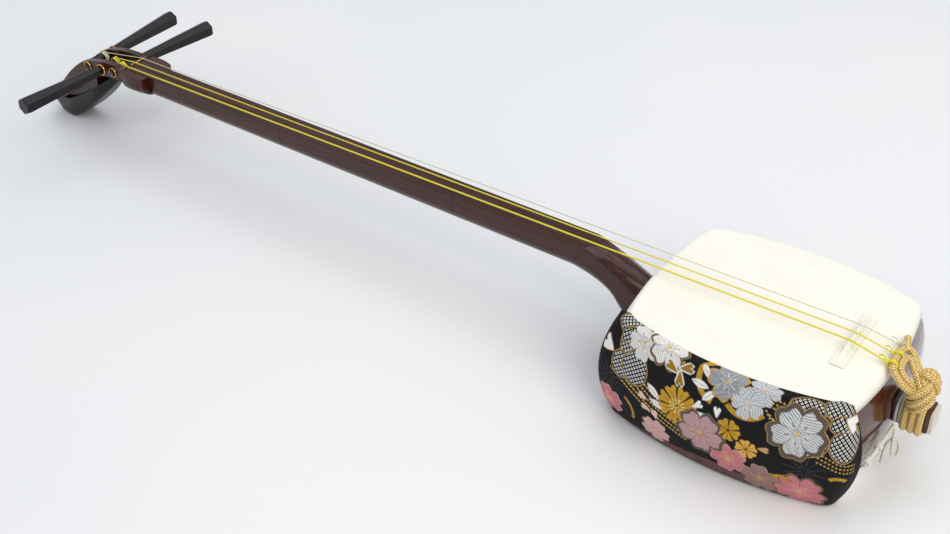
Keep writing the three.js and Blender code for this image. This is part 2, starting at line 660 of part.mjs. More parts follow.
// ---- the white cord of the cover ----------------------------------------------------------------------
const tieRoute = [[113.4, -72.6, -46], [114, -66, -46.3], [114.4, -57, -46.8], [114.6, -45, -47.4],
  [114.8, -30, -48], [114.8, -18.8, -48.8]];
const bowRoute = [[116.2, -18.6, -51.5], [117, -20.6, -55], [117.8, -22.6, -60], [118.6, -24.2, -65],
  [119.4, -25, -69.6], [120.6, -23.6, -73.4], [121.8, -20, -75.2], [122, -16.2, -73.8], [121.2, -14.2, -70],
  [119.8, -14.6, -65.4], [118, -17.4, -61.6], [116, -21.4, -60.4], [114.6, -24.6, -62.4],
  [113.9, -26.4, -66.4], [113.8, -27.4, -71], [113.8, -28, -75.6], [113.8, -28.4, -80]];

// ---- assembly -----------------------------------------------------------------------------------------
const shamisen = new THREE.Group();

function addPiece(name, shape, material, parent = shamisen) {
  const geometry = shape.isBufferGeometry ? shape : geometryOf(shape);
  const mesh = new THREE.Mesh(geometry, material);
  mesh.name = name;
  parent.add(mesh);
  return mesh;
}

function holder(x, y, z, turnX = 0) {
  const group = new THREE.Group();
  group.position.set(x, y, z);
  group.rotation.x = turnX;
  shamisen.add(group);
  return group;
}

const frame = bodyFrame();
['head', 'near', 'tail', 'far'].forEach((side) => {
  addPiece(`${side}_board`, frame.intersect(mitreWedge(side)), looks.bodyWood());
});
addPiece('front_skin', skin(frontLap), looks.skin());
addPiece('back_skin', skin(backLap), looks.skin(), holder(0, 0, -bodyDepth, Math.PI));

addPiece('neck_upper', upperNeck(), looks.neckWood());
addPiece('neck_middle', middleNeck(), looks.neckWood());
addPiece('neck_lower', lowerNeck(), looks.neckWood());
addPiece('head', head(), looks.neckWood());
addPiece('head_cap', cap(), looks.capBlack());
addPiece('nut', nut(), looks.gold());
addPiece('spike', spikeBar(0).subtract(spikePostSolid(gap)), looks.bodyWood());
addPiece('spike_end', spikeEnd(), looks.pale());

pegPlaces.forEach((place, i) => {
  const turn = place.side < 0 ? Math.PI : 0;
  const lean = THREE.MathUtils.degToRad(place.lean);
  const axis = holder(boardEnd - place.back, 0, -place.depth);
  axis.rotation.z = turn - lean;
  addPiece(`peg_${i + 1}`, peg(place.side < 0 ? nearPegReach : pegReach), looks.pegBlack(), axis);
  const wound = addPiece(`winding_${i + 1}`, winding(i), i < 2 ? looks.silk() : looks.paleSilk(), axis);
  wound.position.y = place.side * place.windingAt / Math.cos(lean);
  [['large', place.side, pegShaftRadius], ['small', -place.side, pegTailRadius]].forEach(([size, way, radius]) => {
    const y = way * (cheekHalfWidth + gap);
    const seat = holder(boardEnd - place.back + Math.tan(lean) * y, y, -place.depth);
    seat.rotation.z = way < 0 ? Math.PI : 0;
    addPiece(`ring_${i + 1}_${size}`, ring(radius, ringWidths[size]), looks.gold(), seat);
  });
  addPiece(`string_${i + 1}`, string(i), i < 2 ? looks.silk() : looks.paleSilk());
});

addPiece('bridge', bridge(), looks.ivory());
addPiece('tail_knot', knot(0), looks.braid());
addPiece('tail_loop', loop(), looks.braid());
addPiece('cover_core', core(), looks.board());
addPiece('cover_brocade', brocade(), looks.brocade());
addPiece('cover_tie', tube(tieRoute, tieRadius, 8, 8), looks.whiteCord());
const bow = addPiece('cover_bow', tube(bowRoute, cordRadius, 8, 26), looks.whiteCord());

// Origin: middle of the underside, measured without the loose end of the cord.
bow.removeFromParent();
const limits = new THREE.Box3().setFromObject(shamisen);
shamisen.add(bow);
const middle = limits.getCenter(new THREE.Vector3());
shamisen.position.set(-middle.x, -middle.y, -limits.min.z);
shamisen.updateMatrixWorld(true);

export default shamisen;
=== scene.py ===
import math
import bmesh
import bpy
import numpy as np
from mathutils import Matrix, Vector


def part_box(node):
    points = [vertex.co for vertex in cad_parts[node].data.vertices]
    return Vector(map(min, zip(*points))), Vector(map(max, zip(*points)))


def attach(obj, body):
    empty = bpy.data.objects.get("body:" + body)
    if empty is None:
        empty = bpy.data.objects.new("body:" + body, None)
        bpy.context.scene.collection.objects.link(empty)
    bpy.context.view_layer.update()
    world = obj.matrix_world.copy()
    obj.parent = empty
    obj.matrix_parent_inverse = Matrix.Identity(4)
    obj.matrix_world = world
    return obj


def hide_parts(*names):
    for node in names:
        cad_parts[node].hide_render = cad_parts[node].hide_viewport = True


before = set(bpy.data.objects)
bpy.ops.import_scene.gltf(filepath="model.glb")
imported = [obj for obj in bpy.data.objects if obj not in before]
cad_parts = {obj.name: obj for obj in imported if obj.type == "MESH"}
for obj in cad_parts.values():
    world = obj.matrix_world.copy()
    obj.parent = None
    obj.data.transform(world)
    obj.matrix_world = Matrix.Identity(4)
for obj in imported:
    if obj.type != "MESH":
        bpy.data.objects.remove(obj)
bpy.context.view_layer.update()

mm = 0.001
skinLow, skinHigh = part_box("front_skin")
# the middle of the playing face, which every piece below is drawn round, in mm
faceMiddle = Vector(((skinLow[0] + skinHigh[0]) / 2, (skinLow[1] + skinHigh[1]) / 2, skinHigh[2]))


def place(x, y, z):
    return faceMiddle + Vector((x, y, z)) * mm


# --- camera: a product view from above the tail end, on the cover's side
cameraView = {"position": (304.3, -839.3, 704.4), "azimuth": 35.62, "elevation": 35.32, "roll": 0.616,
              "lens": 53.14, "shift": (0.00905, -0.0553)}
turn = math.radians(cameraView["azimuth"])
lift = math.radians(cameraView["elevation"])
back = Vector((math.sin(turn) * math.cos(lift), -math.cos(turn) * math.cos(lift), math.sin(lift)))
right = Vector((math.cos(turn), math.sin(turn), 0))
up = back.cross(right)
tilt = math.radians(cameraView["roll"])
cameraData = bpy.data.cameras.new("camera")
cameraData.lens = cameraView["lens"]
cameraData.shift_x, cameraData.shift_y = cameraView["shift"]
camera = bpy.data.objects.new("camera", cameraData)
axes = Matrix((right * math.cos(tilt) - up * math.sin(tilt), right * math.sin(tilt) + up * math.cos(tilt),
               back))
camera.matrix_world = Matrix.Translation(place(*cameraView["position"])) @ axes.transposed().to_4x4()
bpy.context.scene.collection.objects.link(camera)
bpy.context.scene.camera = camera
print("camera placed")


# --- small helpers for meshes
def linkMesh(name, verts, faces, smooth=True):
    mesh = bpy.data.meshes.new(name)
    mesh.from_pydata([tuple(v) for v in verts], [], faces)
    mesh.update()
    if smooth:
        mesh.shade_smooth()
    piece = bpy.data.objects.new(name, mesh)
    bpy.context.scene.collection.objects.link(piece)
    return piece


def finishPiece(piece, body, material=None, replaced=()):
    if material:
        piece.data.materials.clear()
        piece.data.materials.append(material)
    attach(piece, body)
    if replaced:
        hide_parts(*replaced)
    return piece


def applyModifiers(piece):
    graph = bpy.context.evaluated_depsgraph_get()
    mesh = bpy.data.meshes.new_from_object(piece.evaluated_get(graph))
    piece.modifiers.clear()
    piece.data = mesh
    return piece


def outwards(piece):
    work = bmesh.new()
    work.from_mesh(piece.data)
    bmesh.ops.remove_doubles(work, verts=work.verts, dist=1e-6)
    bmesh.ops.recalc_face_normals(work, faces=work.faces)
    work.to_mesh(piece.data)
    work.free()
    return piece


# --- materials
def fromHex(code):
    parts = [int(code[i:i + 2], 16) / 255 for i in (1, 3, 5)]
    return tuple(p / 12.92 if p <= 0.04045 else ((p + 0.055) / 1.055) ** 2.4 for p in parts) + (1.0,)


def addNode(tree, kind, inputs=None, grain=None, stops=(), to=None, **settings):
    # grain: a pattern's size along each axis in mm; stops: a ramp's colours; to: what the first output feeds
    inputs = dict(inputs or {})
    if grain:
        where = addNode(tree, "ShaderNodeTexCoord").outputs["Object"]
        scale = tuple(1 / (size * mm) for size in grain)
        inputs["Vector"] = addNode(tree, "ShaderNodeMapping", {"Vector": where, "Scale": scale}).outputs[0]
    node = tree.nodes.new(kind)
    for key, value in settings.items():
        setattr(node, key, value)
    for key, value in inputs.items():
        if isinstance(value, bpy.types.NodeSocket):
            tree.links.new(value, node.inputs[key])
        else:
            node.inputs[key].default_value = value
    for _ in stops[2:]:
        node.color_ramp.elements.new(0.5)
    for element, (position, code) in zip(node.color_ramp.elements if stops else (), stops):
        element.position = position
        element.color = fromHex(code)
    if to:
        tree.links.new(node.outputs[0], to)
    return node


def newMaterial(name, **sockets):
    material = bpy.data.materials.new(name)
    material.use_nodes = True
    tree = material.node_tree
    shader = tree.nodes["Principled BSDF"]
    for key, value in sockets.items():
        shader.inputs[key.replace("_", " ")].default_value = value
    return material, tree, shader


def polishedWood(name, stops, grain, roughness, coat):
    material, tree, shader = newMaterial(name, Coat_Weight=coat, Coat_Roughness=0.06,
                                         Specular_IOR_Level=0.3)
    fibre = addNode(tree, "ShaderNodeTexNoise", {"Scale": 1.0, "Detail": 6.0, "Roughness": 0.62,
                                                 "Distortion": 0.4},
                    grain)
    pores = addNode(tree, "ShaderNodeTexNoise", {"Scale": 1.0, "Detail": 3.0},
                    (6.0, 0.35, 0.35)).outputs["Fac"]
    addNode(tree, "ShaderNodeValToRGB", {"Fac": fibre.outputs["Fac"]}, stops=stops,
            to=shader.inputs["Base Color"])
    addNode(tree, "ShaderNodeMapRange", {"Value": pores, "To Min": roughness - 0.05,
                                         "To Max": roughness + 0.07},
            to=shader.inputs["Roughness"])
    addNode(tree, "ShaderNodeBump", {"Height": pores, "Distance": 0.02 * mm, "Strength": 0.3},
            to=shader.inputs["Normal"])
    return material


# red sandalwood, oiled and rubbed to a shine: nearly black-red, fine grain along the neck
neckWood = polishedWood("polishedRedSandalwood", [(0.3, "#210c08"), (0.5, "#3a170f"), (0.72, "#512216")],
                        (60.0, 2.2, 2.2), 0.2, 0.22)
# quince wood boards under clear lacquer: redder and glossier than the neck
bodyWood = polishedWood("lacqueredQuince", [(0.3, "#2e120d"), (0.5, "#471d14"), (0.75, "#5e2a1d")],
                        (9.0, 40.0, 2.4), 0.16, 0.6)
# ebony pegs, polished by hand: blue-black with a soft sheen
pegWood = polishedWood("polishedEbony", [(0.3, "#08080b"), (0.6, "#0d0c12"), (0.8, "#15141b")],
                       (2.0, 40.0, 2.0), 0.3, 0.05)


def plainMaterial(name, code, roughness, **sockets):
    material, tree, shader = newMaterial(name, Roughness=roughness, **sockets)
    spots = addNode(tree, "ShaderNodeTexNoise", {"Scale": 1.0, "Detail": 5.0}, (7.0, 7.0, 7.0))
    base = fromHex(code)
    dark = tuple(channel * 0.9 for channel in base[:3]) + (1.0,)
    mixed = addNode(tree, "ShaderNodeMix", {"Factor": spots.outputs["Fac"], "A": dark, "B": base},
                    data_type="RGBA")
    tree.links.new(mixed.outputs["Result"], shader.inputs["Base Color"])
    return material


blackLacquer = plainMaterial("blackLacquer", "#101012", 0.36, Specular_IOR_Level=0.35)
goldPlate = plainMaterial("goldPlatedBrass", "#d9aa6c", 0.24, Metallic=1.0)
ivory = plainMaterial("polishedIvory", "#faf6e6", 0.32, Subsurface_Weight=0.08)
spikeFace = plainMaterial("boneEndPlate", "#d8d2c4", 0.4)
coreBoard = plainMaterial("pressedBoard", "#8a7a60", 0.8)


def makeSkinMaterial():
    # cat or dog skin, bleached and stretched hard: smooth, nearly white, with faint pores
    material, tree, shader = newMaterial("stretchedSkin", Roughness=0.42, Subsurface_Weight=0.06,
                                         Subsurface_Radius=(0.004, 0.003, 0.002))
    cloud = addNode(tree, "ShaderNodeTexNoise", {"Scale": 1.0, "Detail": 4.0}, (28.0, 28.0, 28.0))
    addNode(tree, "ShaderNodeValToRGB", {"Fac": cloud.outputs["Fac"]},
            stops=[(0.3, "#f0efe4"), (0.7, "#f5f4ea")],
            to=shader.inputs["Base Color"])
    pores = addNode(tree, "ShaderNodeTexVoronoi", {"Scale": 1.0}, (1.1, 1.1, 1.1))
    addNode(tree, "ShaderNodeBump", {"Height": pores.outputs["Distance"], "Distance": 0.015 * mm,
                                     "Strength": 0.25},
            to=shader.inputs["Normal"])
    return material


skinMaterial = makeSkinMaterial()


def twistedMaterial(name, shadeAndLightCodes, roughness, turns=1.2):
    # silk thread with a visible twist: painted shade and painted highlight in bands that lean round the
    # string, for the light on its twisted plies
    material, tree, shader = newMaterial(name, Roughness=roughness, Sheen_Weight=0.2)
    wave = addNode(tree, "ShaderNodeTexWave", {"Scale": 0.3, "Distortion": 0.5}, (turns, turns, turns),
                   bands_direction="DIAGONAL").outputs["Fac"]
    addNode(tree, "ShaderNodeValToRGB", {"Fac": wave}, stops=[(0.2, shadeAndLightCodes[0]), (0.8, shadeAndLightCodes[1])],
            to=shader.inputs["Base Color"])
    addNode(tree, "ShaderNodeBump", {"Height": wave, "Distance": 0.03 * mm, "Strength": 0.3},
            to=shader.inputs["Normal"])
    return material


# each silk's darker tone is painted shade and its lighter tone is painted highlight along the twist
yellowSilk = twistedMaterial("yellowSilk", ("#cdbb00", "#f2e41c"), 0.35)
# string 3's silk is a paler copy of the yellow silk: a painted highlight where that string catches the light
highlitYellowSilk = twistedMaterial("highlitYellowSilk", ("#b9b48c", "#e6e0b8"), 0.35)


def braidMaterial(name, grooveShade, light, crownHighlight, roughness, sheen):
    # braided cord: painted shade darkens the groove between stitches and a painted highlight lights their
    # crowns
    material, tree, shader = newMaterial(name, Roughness=roughness, Sheen_Weight=sheen)
    crown = addNode(tree, "ShaderNodeAttribute", attribute_name="crown").outputs["Fac"]
    fuzz = addNode(tree, "ShaderNodeTexNoise", {"Scale": 1.0, "Detail": 3.0},
                   (0.5, 0.5, 0.5)).outputs["Fac"]
    tint = addNode(tree, "ShaderNodeMath", {0: crown, 1: fuzz, 2: 0.05},
                   operation="MULTIPLY_ADD").outputs[0]
    # lowest stop is painted groove shade, top stop is painted highlight on the stitch crowns
    addNode(tree, "ShaderNodeValToRGB", {"Fac": tint}, stops=[(0.1, grooveShade), (0.3, light), (0.5, crownHighlight)],
            to=shader.inputs["Base Color"])
    addNode(tree, "ShaderNodeBump", {"Height": fuzz, "Distance": 0.08 * mm, "Strength": 0.5},
            to=shader.inputs["Normal"])
    return material


# dark and top colours of each braid are painted shade in the grooves and painted highlight on the crowns
goldBraid = braidMaterial("goldSilkBraid", "#63460f", "#c39a40", "#f6e2a2", 0.42, 0.1)
whiteBraid = braidMaterial("whiteSilkBraid", "#77746a", "#d2cfc2", "#f2f0e8", 0.6, 0.2)
print("materials made")


# --- braid: a Geometry Nodes tree that sweeps a braided surface along a curve
def openTree(name, numbers):
    # a tree that takes a line, a profile's size and a material
    tree = bpy.data.node_groups.new(name, "GeometryNodeTree")
    face = tree.interface
    face.new_socket("Geometry", in_out="INPUT", socket_type="NodeSocketGeometry")
    for label in numbers:
        face.new_socket(label, in_out="INPUT", socket_type="NodeSocketFloat")
    face.new_socket("Around", in_out="INPUT", socket_type="NodeSocketInt")
    face.new_socket("Material", in_out="INPUT", socket_type="NodeSocketMaterial")
    face.new_socket("Geometry", in_out="OUTPUT", socket_type="NodeSocketGeometry")
    given = addNode(tree, "NodeGroupInput").outputs
    circle = addNode(tree, "GeometryNodeCurvePrimitiveCircle", {"Resolution": given["Around"],
                     "Radius": given["Radius"]}).outputs["Curve"]
    return tree, given, circle


def closeTree(tree, mesh, material):
    smooth = addNode(tree, "GeometryNodeSetShadeSmooth", {"Geometry": mesh}).outputs[0]
    real = addNode(tree, "GeometryNodeRealizeInstances", {"Geometry": smooth}).outputs[0]
    done = addNode(tree, "GeometryNodeSetMaterial", {"Geometry": real, "Material": material}).outputs[0]
    addNode(tree, "NodeGroupOutput", {"Geometry": done})
    return tree


def makeBraidTree():
    tree, given, circle = openTree("braidAlongCurve", ("Radius", "Columns", "Pitch", "Relief", "Step"))
    spline = addNode(tree, "GeometryNodeSplineParameter").outputs
    line = addNode(tree, "GeometryNodeResampleCurve", {"Curve": given["Geometry"], "Length": given["Step"]},
                   mode="LENGTH").outputs[0]
    value = {"columns": given["Columns"], "pitch": given["Pitch"], "relief": given["Relief"]}
    kept = []
    for name, geometry, field in (("along", line, spline["Length"]), ("around", circle, spline["Factor"])):
        node = addNode(tree, "GeometryNodeCaptureAttribute", {"Geometry": geometry})
        node.capture_items.new("FLOAT", name)
        tree.links.new(field, node.inputs[name])
        kept.append(node.outputs["Geometry"])
        value[name] = node.outputs[name]
    swept = addNode(tree, "GeometryNodeCurveToMesh", {"Curve": kept[0], "Profile Curve": kept[1],
                    "Fill Caps": True}).outputs[0]
    # each column of stitches leans the other way from the next and starts half a stitch on
    for name, operation, first, second in (
            ("column", "MULTIPLY", "around", "columns"), ("whole", "FLOOR", "column", 0.0),
            ("odd", "MODULO", "whole", 2.0), ("across", "FRACT", "column", 0.0),
            ("double", "MULTIPLY", "odd", 2.0),
            ("way", "SUBTRACT", "double", 1.0), ("offset", "SUBTRACT", "across", 0.5),
            ("slant", "MULTIPLY", "way", "offset"), ("stitch", "DIVIDE", "along", "pitch"),
            ("leaning", "ADD", "stitch", "slant"), ("half", "MULTIPLY", "odd", 0.5),
            ("phase", "ADD", "leaning", "half"), ("archTurn", "MULTIPLY", "across", math.pi),
            ("arch", "SINE", "archTurn", 0.0), ("archShare", "MULTIPLY", "arch", 0.35),
            ("ridge", "ADD", "archShare", 0.65), ("part", "FRACT", "phase", 0.0),
            ("partTurn", "MULTIPLY", "part", math.pi), ("swell", "SINE", "partTurn", 0.0),
            ("rounded", "POWER", "swell", 0.7), ("crown", "MULTIPLY", "ridge", "rounded"),
            ("raised", "SUBTRACT", "crown", 0.6), ("height", "MULTIPLY", "raised", "relief")):
        value[name] = addNode(tree, "ShaderNodeMath", {0: value.get(first, first),
                                                       1: value.get(second, second)},
                              operation=operation).outputs[0]
    normal = addNode(tree, "GeometryNodeInputNormal").outputs[0]
    offset = addNode(tree, "ShaderNodeVectorMath", {0: normal, "Scale": value["height"]},
                     operation="SCALE").outputs[0]
    marked = addNode(tree, "GeometryNodeStoreNamedAttribute", {"Geometry": swept, "Name": "crown",
                     "Value": value["crown"]}, data_type="FLOAT").outputs[0]
    moved = addNode(tree, "GeometryNodeSetPosition", {"Geometry": marked, "Offset": offset}).outputs[0]
    return closeTree(tree, moved, given["Material"])


braidTree = makeBraidTree()


def smoothPath(points, spacing=1.5, closed=False):
    points = [Vector(p) for p in points]
    count = len(points)
    path = []
    pairs = range(count if closed else count - 1)
    for i in pairs:
        if closed:
            p0, p1, p2, p3 = (points[(i + k) % count] for k in (-1, 0, 1, 2))
        else:
            p1, p2 = points[i], points[i + 1]
            p0 = points[i - 1] if i else p1 * 2 - p2
            p3 = points[i + 2] if i + 2 < count else p2 * 2 - p1
        steps = max(2, int((p2 - p1).length / spacing))
        for k in range(steps):
            t = k / steps
            path.append(0.5 * (2 * p1 + (p2 - p0) * t + (2 * p0 - 5 * p1 + 4 * p2 - p3) * t * t
                               + (3 * p1 - p0 - 3 * p2 + p3) * t ** 3))
    if not closed:
        path.append(points[-1])
    return path


def sweep(name, routes, tree, values):
    curve = bpy.data.curves.new(name + "Line", "CURVE")
    curve.dimensions = "3D"
    for route, closed in routes:
        spline = curve.splines.new("POLY")
        spline.points.add(len(route) - 1)
        for point, where in zip(spline.points, route):
            point.co = (*place(*where), 1.0)
        spline.use_cyclic_u = closed
    line = bpy.data.objects.new(name + "Line", curve)
    bpy.context.scene.collection.objects.link(line)
    modifier = line.modifiers.new("sweep", "NODES")
    modifier.node_group = tree
    for item in tree.interface.items_tree:
        if item.in_out == "INPUT" and item.name in values:
            modifier[item.identifier] = values[item.name]
    graph = bpy.context.evaluated_depsgraph_get()
    mesh = bpy.data.meshes.new_from_object(line.evaluated_get(graph))
    bpy.data.objects.remove(line)
    piece = bpy.data.objects.new(name, mesh)
    bpy.context.scene.collection.objects.link(piece)
    return piece


def braid(name, routes, material, radius, columns, pitch, relief, step, around):
    return sweep(name, routes, braidTree, {"Radius": radius * mm, "Columns": float(columns),
                                           "Pitch": pitch * mm,
                 "Relief": relief * mm, "Step": step * mm, "Around": around, "Material": material})


# --- the loose end of the cover's white cord, settled first
bowCord = {"radius": 1.15, "columns": 6, "pitch": 2.2, "relief": 0.35, "step": 0.45, "around": 24}
bowRoute = [(116.2, -18.6, -51.5), (117, -20.6, -55), (117.8, -22.6, -60), (118.6, -24.2, -65),
            (119.4, -25, -69.6), (120.6, -23.6, -73.4), (121.8, -20, -75.2), (122, -16.2, -73.8),
            (121.2, -14.2, -70), (119.8, -14.6, -65.4), (118, -17.4, -61.6), (116, -21.4, -60.4),
            (114.6, -24.6, -62.4), (113.9, -26.4, -66.4), (113.8, -27.4, -71), (113.8, -28, -75.6),
            (113.8, -28.4, -80)]
bowPath = smoothPath(bowRoute, 1.0)
bow = braid("coverCordBow", [(bowPath, False)], whiteBraid, **bowCord)
finishPiece(bow, "instrument", None, ["cover_bow"])


# --- body shape, shared by skins and cover
bodyShape = {"halfLength": 91.2, "endBulge": 8.5, "halfWidth": 75.8, "sideBulge": 14.3, "ease": 7.0,
             "depth": 96.0, "barrel": 0.12}


def bodyOutline(perSide=40, perCorner=8):
    corners = [Vector((sx * bodyShape["halfLength"], sy * bodyShape["halfWidth"]))
               for sx, sy in ((-1, -1), (1, -1), (1, 1), (-1, 1))]
    sides = []
    for i, start in enumerate(corners):
        end = corners[(i + 1) % 4]
        middle = start + end
        bulge = Vector((math.copysign(bodyShape["endBulge"], middle.x) if abs(middle.x) > 1 else 0,
                        math.copysign(bodyShape["sideBulge"], middle.y) if abs(middle.y) > 1 else 0))
        cut = bodyShape["ease"] / (end - start).length
        shares = [cut + (1 - 2 * cut) * k / perSide for k in range(perSide + 1)]
        sides.append([start.lerp(end, t) + bulge * 4 * t * (1 - t) for t in shares])
    outline = []
    for i, side in enumerate(sides):
        outline += side
        start, corner, end = side[-1], corners[(i + 1) % 4], sides[(i + 1) % 4][0]
        for k in range(1, perCorner):
            t = k / perCorner
            outline.append(start * (1 - t) ** 2 + corner * 2 * t * (1 - t) + end * t * t)
    return outline


def barrelAt(z):
    middle = -bodyShape["depth"] / 2
    return 1 + bodyShape["barrel"] * (1 - ((z - middle) / middle) ** 2)


skinEnd = bodyShape["halfLength"] + bodyShape["endBulge"]
skinSide = bodyShape["halfWidth"] + bodyShape["sideBulge"]


def ringAt(outline, grow, z, inset=0.0):
    scale = barrelAt(z)
    return [(p.x * (scale + (grow - inset) / skinEnd), p.y * (scale + (grow - inset) / skinSide), z)
            for p in outline]


def shell(name, rings, capFirst=None, capLast=None):
    count = len(rings[0])
    verts = [place(*point) for ring in rings for point in ring]
    faces = []
    for level in range(len(rings) - 1):
        for i in range(count):
            j = (i + 1) % count
            a, b = level * count, (level + 1) * count
            faces.append((a + i, a + j, b + j, b + i))
    for level in (capFirst, capLast):
        if level is not None:
            faces.append(tuple(range(level * count, (level + 1) * count)))
    return outwards(linkMesh(name, verts, faces))


skinLook = {"thickness": 0.8, "edge": 3.5, "frontLap": 9.0, "backLap": 14.0}


def makeSkin(name, lap, under):
    outline = bodyOutline()
    edge = skinLook["edge"]
    thick = skinLook["thickness"]
    outer = [(-lap, 0.0), (-edge - 1.5, 0.0)]
    outer += [(-edge + edge * math.sin(a), edge * (1 - math.cos(a)))
              for a in (math.pi / 2 * k / 8 for k in range(9))]
    rings = [ringAt(outline, 0, z, inset) for z, inset in outer]
    for share in (0.97, 0.9, 0.75, 0.55, 0.3, 0.08):
        rings.append([(x * share, y * share, z) for x, y, z in rings[len(outer) - 1]])
    innerEdge = edge - thick
    inner = [(-lap, thick), (-edge, thick)]
    inner += [(-thick - innerEdge + innerEdge * math.sin(a), thick + innerEdge * (1 - math.cos(a)))
              for a in (math.pi / 2 * k / 3 for k in range(1, 4))]
    innerRings = [ringAt(outline, 0, z, inset) for z, inset in inner]
    for share in (0.8, 0.4, 0.08):
        innerRings.append([(x * share, y * share, z) for x, y, z in innerRings[len(inner) - 1]])
    allRings = list(reversed(rings)) + innerRings
    if under:
        allRings = [[(x, -y, -bodyShape["depth"] - z) for x, y, z in ring] for ring in allRings]
    return shell(name, allRings, 0, len(allRings) - 1)


finishPiece(makeSkin("frontSkin", skinLook["frontLap"], False), "instrument", skinMaterial,
            ["front_skin"])
finishPiece(makeSkin("backSkin", skinLook["backLap"], True), "instrument", skinMaterial,
            ["back_skin"])
print("skins made")


# --- CAD pieces whose edges only need easing: a merged copy with its sharp edges bevelled
def refine(node, body, material, bevel=0.35, angle=32, segments=2):
    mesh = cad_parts[node].data.copy()
    piece = bpy.data.objects.new(node + "Fine", mesh)
    bpy.context.scene.collection.objects.link(piece)
    work = bmesh.new()
    work.from_mesh(mesh)
    bmesh.ops.remove_doubles(work, verts=work.verts, dist=2e-6)
    bmesh.ops.dissolve_limit(work, angle_limit=math.radians(1.5), verts=work.verts, edges=work.edges)
    work.to_mesh(mesh)
    work.free()
    mesh.shade_smooth()
    if bevel:
        modifier = piece.modifiers.new("bevel", "BEVEL")
        modifier.width = bevel * mm
        modifier.segments = segments
        modifier.limit_method = "ANGLE"
        modifier.angle_limit = math.radians(angle)
        weighted = piece.modifiers.new("weighted", "WEIGHTED_NORMAL")
        weighted.weight = 90
        applyModifiers(piece)
    return finishPiece(piece, body, material, [node])


for node in ("head_board", "near_board", "tail_board", "far_board"):
    refine(node, "instrument", bodyWood, 0.3)
for node in ("neck_upper", "neck_middle", "neck_lower"):
    refine(node, "instrument", neckWood, 0.15, 50)
refine("head", "instrument", neckWood, 0.5, 35)
refine("head_cap", "instrument", blackLacquer, 0.4, 40)
refine("nut", "instrument", goldPlate, 0.3)
refine("spike", "instrument", bodyWood, 0.8)
refine("spike_end", "instrument", spikeFace, 0.3)
refine("bridge", "bridge_body", ivory, 0.25)
for number in (1, 2, 3):
    refine(f"peg_{number}", f"tuner_{number}", pegWood, 0.9, 25, 3)
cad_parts["cover_core"].data.materials.clear()
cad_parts["cover_core"].data.materials.append(coreBoard)
print("hard pieces eased")


# --- gold rings round the pegs
ringWidths = {"large": 2.0, "small": 1.4}


def lathe(name, profile, centre, sides=48):
    verts, faces = [], []
    for k in range(sides):
        a = 2 * math.pi * k / sides
        verts += [centre + Vector((r * math.cos(a), y, r * math.sin(a))) * mm for r, y in profile]
    n = len(profile)
    for k in range(sides):
        for i in range(n):
            a, b = k * n, ((k + 1) % sides) * n
            faces.append((a + i, a + (i + 1) % n, b + (i + 1) % n, b + i))
    return outwards(linkMesh(name, verts, faces))


for number in (1, 2, 3):
    for size in ringWidths:
        node = f"ring_{number}_{size}"
        low, high = (Vector(corner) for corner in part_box(node))
        outer = (high.x - low.x) / 2 / mm
        width = ringWidths[size]
        thick = (high.y - low.y) / mm
        way = 1 if low.y > faceMiddle.y else -1
        start = Vector(((low.x + high.x) / 2, low.y if way > 0 else high.y, (low.z + high.z) / 2))
        profile = [(outer - width, 0), (outer - 0.1, 0), (outer, 0.25)]
        profile += [(outer - width / 2 + width / 2 * math.cos(a), 0.45 + (thick - 0.45) * math.sin(a))
                    for a in (math.pi * k / 8 for k in range(1, 8))]
        profile += [(outer - width, 0.3)]
        ring = lathe(f"pegRing{number}{size.title()}", [(r, way * y) for r, y in profile], start)
        finishPiece(ring, "instrument", goldPlate, [node])
print("rings made")


# --- strings, and the turns wound round each peg
stringLook = {"radii": (0.75, 0.6, 0.42), "sides": 10, "nutSpread": 10.65, "bridgeSpread": 11.0,
              "tieSpread": 12.4,
              "nut": (-718.3, -3.25), "bridge": (67.8, 9.1), "tieTurn": 3.57}
# string 3 takes the paler silk, a painted highlight on the yellow silk
stringSilk = (yellowSilk, yellowSilk, highlitYellowSilk)


def makeTubeTree():
    tree, given, circle = openTree("threadAlongCurve", ("Radius",))
    swept = addNode(tree, "GeometryNodeCurveToMesh", {"Curve": given["Geometry"], "Profile Curve": circle,
                    "Fill Caps": True}).outputs[0]
    return closeTree(tree, swept, given["Material"])


tubeTree = makeTubeTree()


def inInstrument(point):
    return (Vector(point) - faceMiddle) / mm


